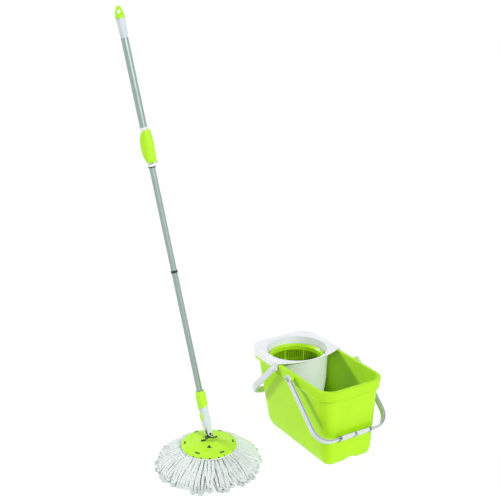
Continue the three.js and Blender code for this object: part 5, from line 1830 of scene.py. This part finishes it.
@dataclass
class LockLever:
    """The lime clamp lever: a thin shell that wraps the front and flanks of the lock body."""

    pin_reach: float = 0.012
    pin_height: float = 0.007
    wall: float = 0.0014
    edge: float = 0.0004
    mouth: float = 0.0115  # half the width left open at the foot, for the lug of the lock body
    arc_steps: int = 24
    levels: tuple[tuple[float, float, float, float], ...] = (
        (0.005, 0.0075, 0.0162, 0.0154),
        (0.009, 0.0040, 0.0164, 0.0154),
        (0.017, -0.0050, 0.0170, 0.0158),
        (0.028, -0.0088, 0.0178, 0.0168),
        (0.041, -0.0105, 0.0186, 0.0176),
        (0.060, -0.0110, 0.0190, 0.0176),
        (0.080, -0.0090, 0.0186, 0.0174),
        (0.093, -0.0025, 0.0176, 0.0164),
        (0.100, 0.0035, 0.0164, 0.0156),
        (0.103, 0.0080, 0.0158, 0.0154),
    )  # height, rear edge, front and half width of the shell

    def place(self) -> Matrix:
        """Finds the lever's frame: along its pin, out from the pole, and up the pole."""
        joints = {joint["name"]: joint for joint in frame["record"]["behaviour"]["joints"]}
        along, up = (Vector(joints[name]["axis"]) for name in ("lever_swing", "pump"))
        out = along.cross(up)
        foot = Vector(joints["lever_swing"]["pos_m"]) - self.pin_reach * out - self.pin_height * up
        return Matrix.Translation(foot) @ Matrix((along, out, up)).transposed().to_4x4()

    def build(self) -> None:
        """Makes the shell, level by level."""
        bm = bmesh.new()
        rows = []
        for height, rear, front, half in self.levels:
            widest = math.acos(max(rear, 0.0) / front)
            turns = [widest * (2 * i / self.arc_steps - 1) for i in range(self.arc_steps + 1)]
            line = [(half * math.sin(turn), front * math.cos(turn)) for turn in turns]
            end = (line[-1][0], min(rear, line[-1][1]) - self.wall / 4)
            line = [(-end[0], end[1]), *line, end]
            rows.append([bm.verts.new((x, y, height)) for x, y in line])
        for low, high in zip(rows, rows[1:]):
            for corners in zip(low, low[1:], high[1:], high):
                if low is not rows[0] or max(abs(vert.co.x) for vert in corners) > self.mouth:
                    bm.faces.new(corners)
        bmesh.ops.recalc_face_normals(bm, faces=bm.faces)
        if max(bm.faces, key=lambda face: face.calc_center_median().y).normal.y < 0:
            bmesh.ops.reverse_faces(bm, faces=bm.faces)
        finish_piece(
            moved(bm, self.place()), "lock_lever_shell", MOP_LIME, carrier_of("lock_lever"),
            ["lock_lever"], wall=self.wall, edge=self.edge, recalc=False,
        )


@dataclass
class CopiedParts:
    """Small parts whose CAD shape is right: welded, softened at the edges and dressed."""

    edge: float = 0.0004
    shown: tuple[tuple[str, Finish], ...] = (
        # The darkened steel of the tilt pin and the fork pin is a painted reflection.
        ("tilt_pin", STEEL_PAINTED_DARK_REFLECTION),
        # The greyer white of this sleeve and of the end sleeve is painted shade.
        ("fork_sleeve", MOP_WHITE_PAINTED_SHADE),
        ("fork_pin", STEEL_PAINTED_DARK_REFLECTION),
        ("clip_sleeve", MOP_LIME),
        ("release_button", MOP_LIME),
        ("lower_tube", TUBE_STEEL),
        ("joint_ring", DARK_PLASTIC_AND_PAINTED_SHADE),
        ("middle_tube", TUBE_STEEL),
        ("snap_button", TUBE_STEEL),
        ("wiper_ring", RUBBER),
        ("lock_body", WHITE),
        ("upper_tube", TUBE_STEEL),
        # The greyer white is painted shade.
        ("end_sleeve", MOP_WHITE_PAINTED_SHADE),
        ("hanger_cap", MOP_LIME),
    )
    hidden: tuple[tuple[str, Finish], ...] = (
        ("refill_ring", WHITE),
        ("spindle", PLATED),
        ("basket_bearing", PLATED),
        ("spindle_ring", PLATED),
        ("joint_plug", DARK_PLASTIC_AND_PAINTED_SHADE),
        ("drive_nut", DARK_PLASTIC_AND_PAINTED_SHADE),
        ("twisted_bar", PLATED),
        ("lever_pin", PLATED),
    )

    def build(self) -> None:
        """Copies the parts that show and gives the ones inside a better finish."""
        for node, finish in self.shown:
            bm = copy_of(node)
            bmesh.ops.dissolve_limit(bm, angle_limit=FLAT, verts=bm.verts, edges=bm.edges)
            name = f"{node}_finished"
            finish_piece(bm, name, finish, carrier_of(node), [node], edge=self.edge)
        for node, finish in self.hidden:
            for slot in frame["nodes"][node].material_slots:
                slot.material = finish.material()
            LOG.info("%s: finished as %s", node, finish.name)


# ---------------------------------------------------------------- studio


@dataclass
class Studio:
    """A plain pale floor, white surroundings, two soft suns and the camera."""

    camera_at: Point = (-1.577568, -2.192229, 1.520499)
    pitch: float = math.radians(18.2578)
    heading: float = math.radians(-31.2976)
    lens: float = 66.4238
    sensor: float = 36.0
    sight: float = 100.0  # how far it sees
    suns: tuple[tuple[str, Point], ...] = (
        ("sun_from_the_left", (1.2, -1.55, -1.0)),
        ("sun_from_the_front", (-0.1, 1.2, -0.8)),
    )
    sunlight: float = 1.9
    sun_angle: float = math.radians(10)
    white: str = "ffffff"
    ambient: float = 0.42
    floor_size: float = 12.0
    floor_drop: float = 0.0003
    floor_matt: str = "e6e6e6"
    floor_glow: float = 0.25
    seen_matt: str = "585858"  # the floor as the camera sees it
    seen_glow: float = 0.93

    def camera(self) -> None:
        """Stands the camera where the object is seen from."""
        data = bpy.data.cameras.new("camera")
        data.lens = self.lens
        data.sensor_width = self.sensor
        data.sensor_fit = "HORIZONTAL"
        data.clip_end = self.sight
        camera = linked("camera", data)
        camera.rotation_euler = (QUARTER - self.pitch, 0, self.heading)
        camera.location = self.camera_at
        bpy.context.scene.camera = camera

    def sun(self, name: str, way: Point) -> None:
        """Hangs a soft sun that shines along a direction.

        Args:
            name: its name.
            way: the direction of its light.
        """
        data = bpy.data.lights.new(name, "SUN")
        data.energy = self.sunlight
        data.angle = self.sun_angle
        linked(name, data).rotation_euler = Vector(way).to_track_quat("-Z", "Y").to_euler()

    def greater(self, tree: NodeTree, first: Socket, second: Socket) -> Socket:
        """Adds a node that passes on the greater of two values."""
        both = {0: first, 1: second}
        return add_node(tree, "ShaderNodeMath", both, operation="MAXIMUM").outputs[0]

    def surroundings(self) -> None:
        """Lights the object from all round, and shows white behind it and in its gloss."""
        world = bpy.data.worlds.new("white_surroundings")
        world.use_nodes = True
        tree = world.node_tree
        tree.nodes.clear()
        rays = add_node(tree, "ShaderNodeLightPath").outputs
        seen = self.greater(tree, rays["Is Camera Ray"], rays["Is Transmission Ray"])
        level = add_node(
            tree, "ShaderNodeMapRange", {"Value": seen, "To Min": self.ambient, "To Max": 1.0}
        ).outputs[0]
        strength = self.greater(tree, level, rays["Is Glossy Ray"])
        light = {"Color": linear(self.white), "Strength": strength}
        back = add_node(tree, "ShaderNodeBackground", light)
        add_node(tree, "ShaderNodeOutputWorld", {"Surface": back.outputs[0]})
        bpy.context.scene.world = world

    def glowing(self, tree: NodeTree, matt: str, glow: float) -> Socket:
        """Mixes a matt colour with a white glow.

        Args:
            tree: the node tree.
            matt: the colour, in hex.
            glow: strength of the glow.

        Returns:
            The socket that carries the mixed shader.
        """
        diffuse = add_node(tree, "ShaderNodeBsdfDiffuse", {"Color": linear(matt)})
        lit = add_node(tree, "ShaderNodeEmission", {"Color": linear(self.white), "Strength": glow})
        both = {0: diffuse.outputs[0], 1: lit.outputs[0]}
        return add_node(tree, "ShaderNodeAddShader", both).outputs[0]

    def floor(self) -> None:
        """Lays the pale floor: seen as white, with the object's faint shadow kept."""
        bm = bmesh.new()
        bmesh.ops.create_grid(bm, x_segments=1, y_segments=1, size=self.floor_size / 2)
        floor = linked("floor", mesh_of(bm, "floor"))
        floor.location.z = -self.floor_drop
        material, tree = blank_material("pale_studio_floor")
        rays = add_node(tree, "ShaderNodeLightPath").outputs
        seen = self.greater(tree, rays["Is Camera Ray"], rays["Is Glossy Ray"])
        plain = self.glowing(tree, self.floor_matt, self.floor_glow)
        white = self.glowing(tree, self.seen_matt, self.seen_glow)
        mix = add_node(tree, "ShaderNodeMixShader", {0: seen, 1: plain, 2: white})
        add_node(tree, "ShaderNodeOutputMaterial", {"Surface": mix.outputs[0]})
        floor.data.materials.append(material)

    def build(self) -> None:
        """Sets up the studio."""
        bpy.context.scene.view_settings.view_transform = "Standard"
        self.camera()
        for name, way in self.suns:
            self.sun(name, way)
        self.surroundings()
        self.floor()


# ---------------------------------------------------------------- the whole


def main() -> None:
    """Builds the studio, the bucket and the mop."""
    logging.basicConfig(level=logging.INFO, format="%(name)s: %(message)s")
    Studio().build()
    tub = Tub()
    front = StrapHandle(
        name="front_handle", node="front_bail", body=Body.FRONT_BAIL,
        pin_nodes=("bail_pin_right", "bail_pin_left"), pin_finish=PLATED, pin_seat=0.1145,
        pivot=tub.pivot, half_span=0.134, reach=0.227, corner=0.053,
        hang=math.radians(41.5), side=-1,
    )
    rear = StrapHandle(
        name="rear_handle_strap", node="rear_handle", body=Body.REAR_HANDLE,
        pin_nodes=("handle_pin_right", "handle_pin_left"), pin_finish=WHITE, pin_seat=0.1199,
        pivot=(0.047, 0.2465), half_span=0.1265, reach=0.231, corner=0.075,
        hang=math.radians(44.7), side=1,
    )
    tub.build()
    front.build(Body.BUCKET)
    Grip(front).build()
    Insert(tub).build()
    rear.build(Body.INSERT)
    Basket().build()
    disc = MopDisc()
    disc.build()
    SwivelBracket(disc).build()
    YarnRefill().build()
    LockLever().build()
    CopiedParts().build()


if __name__ == "__main__":
    main()
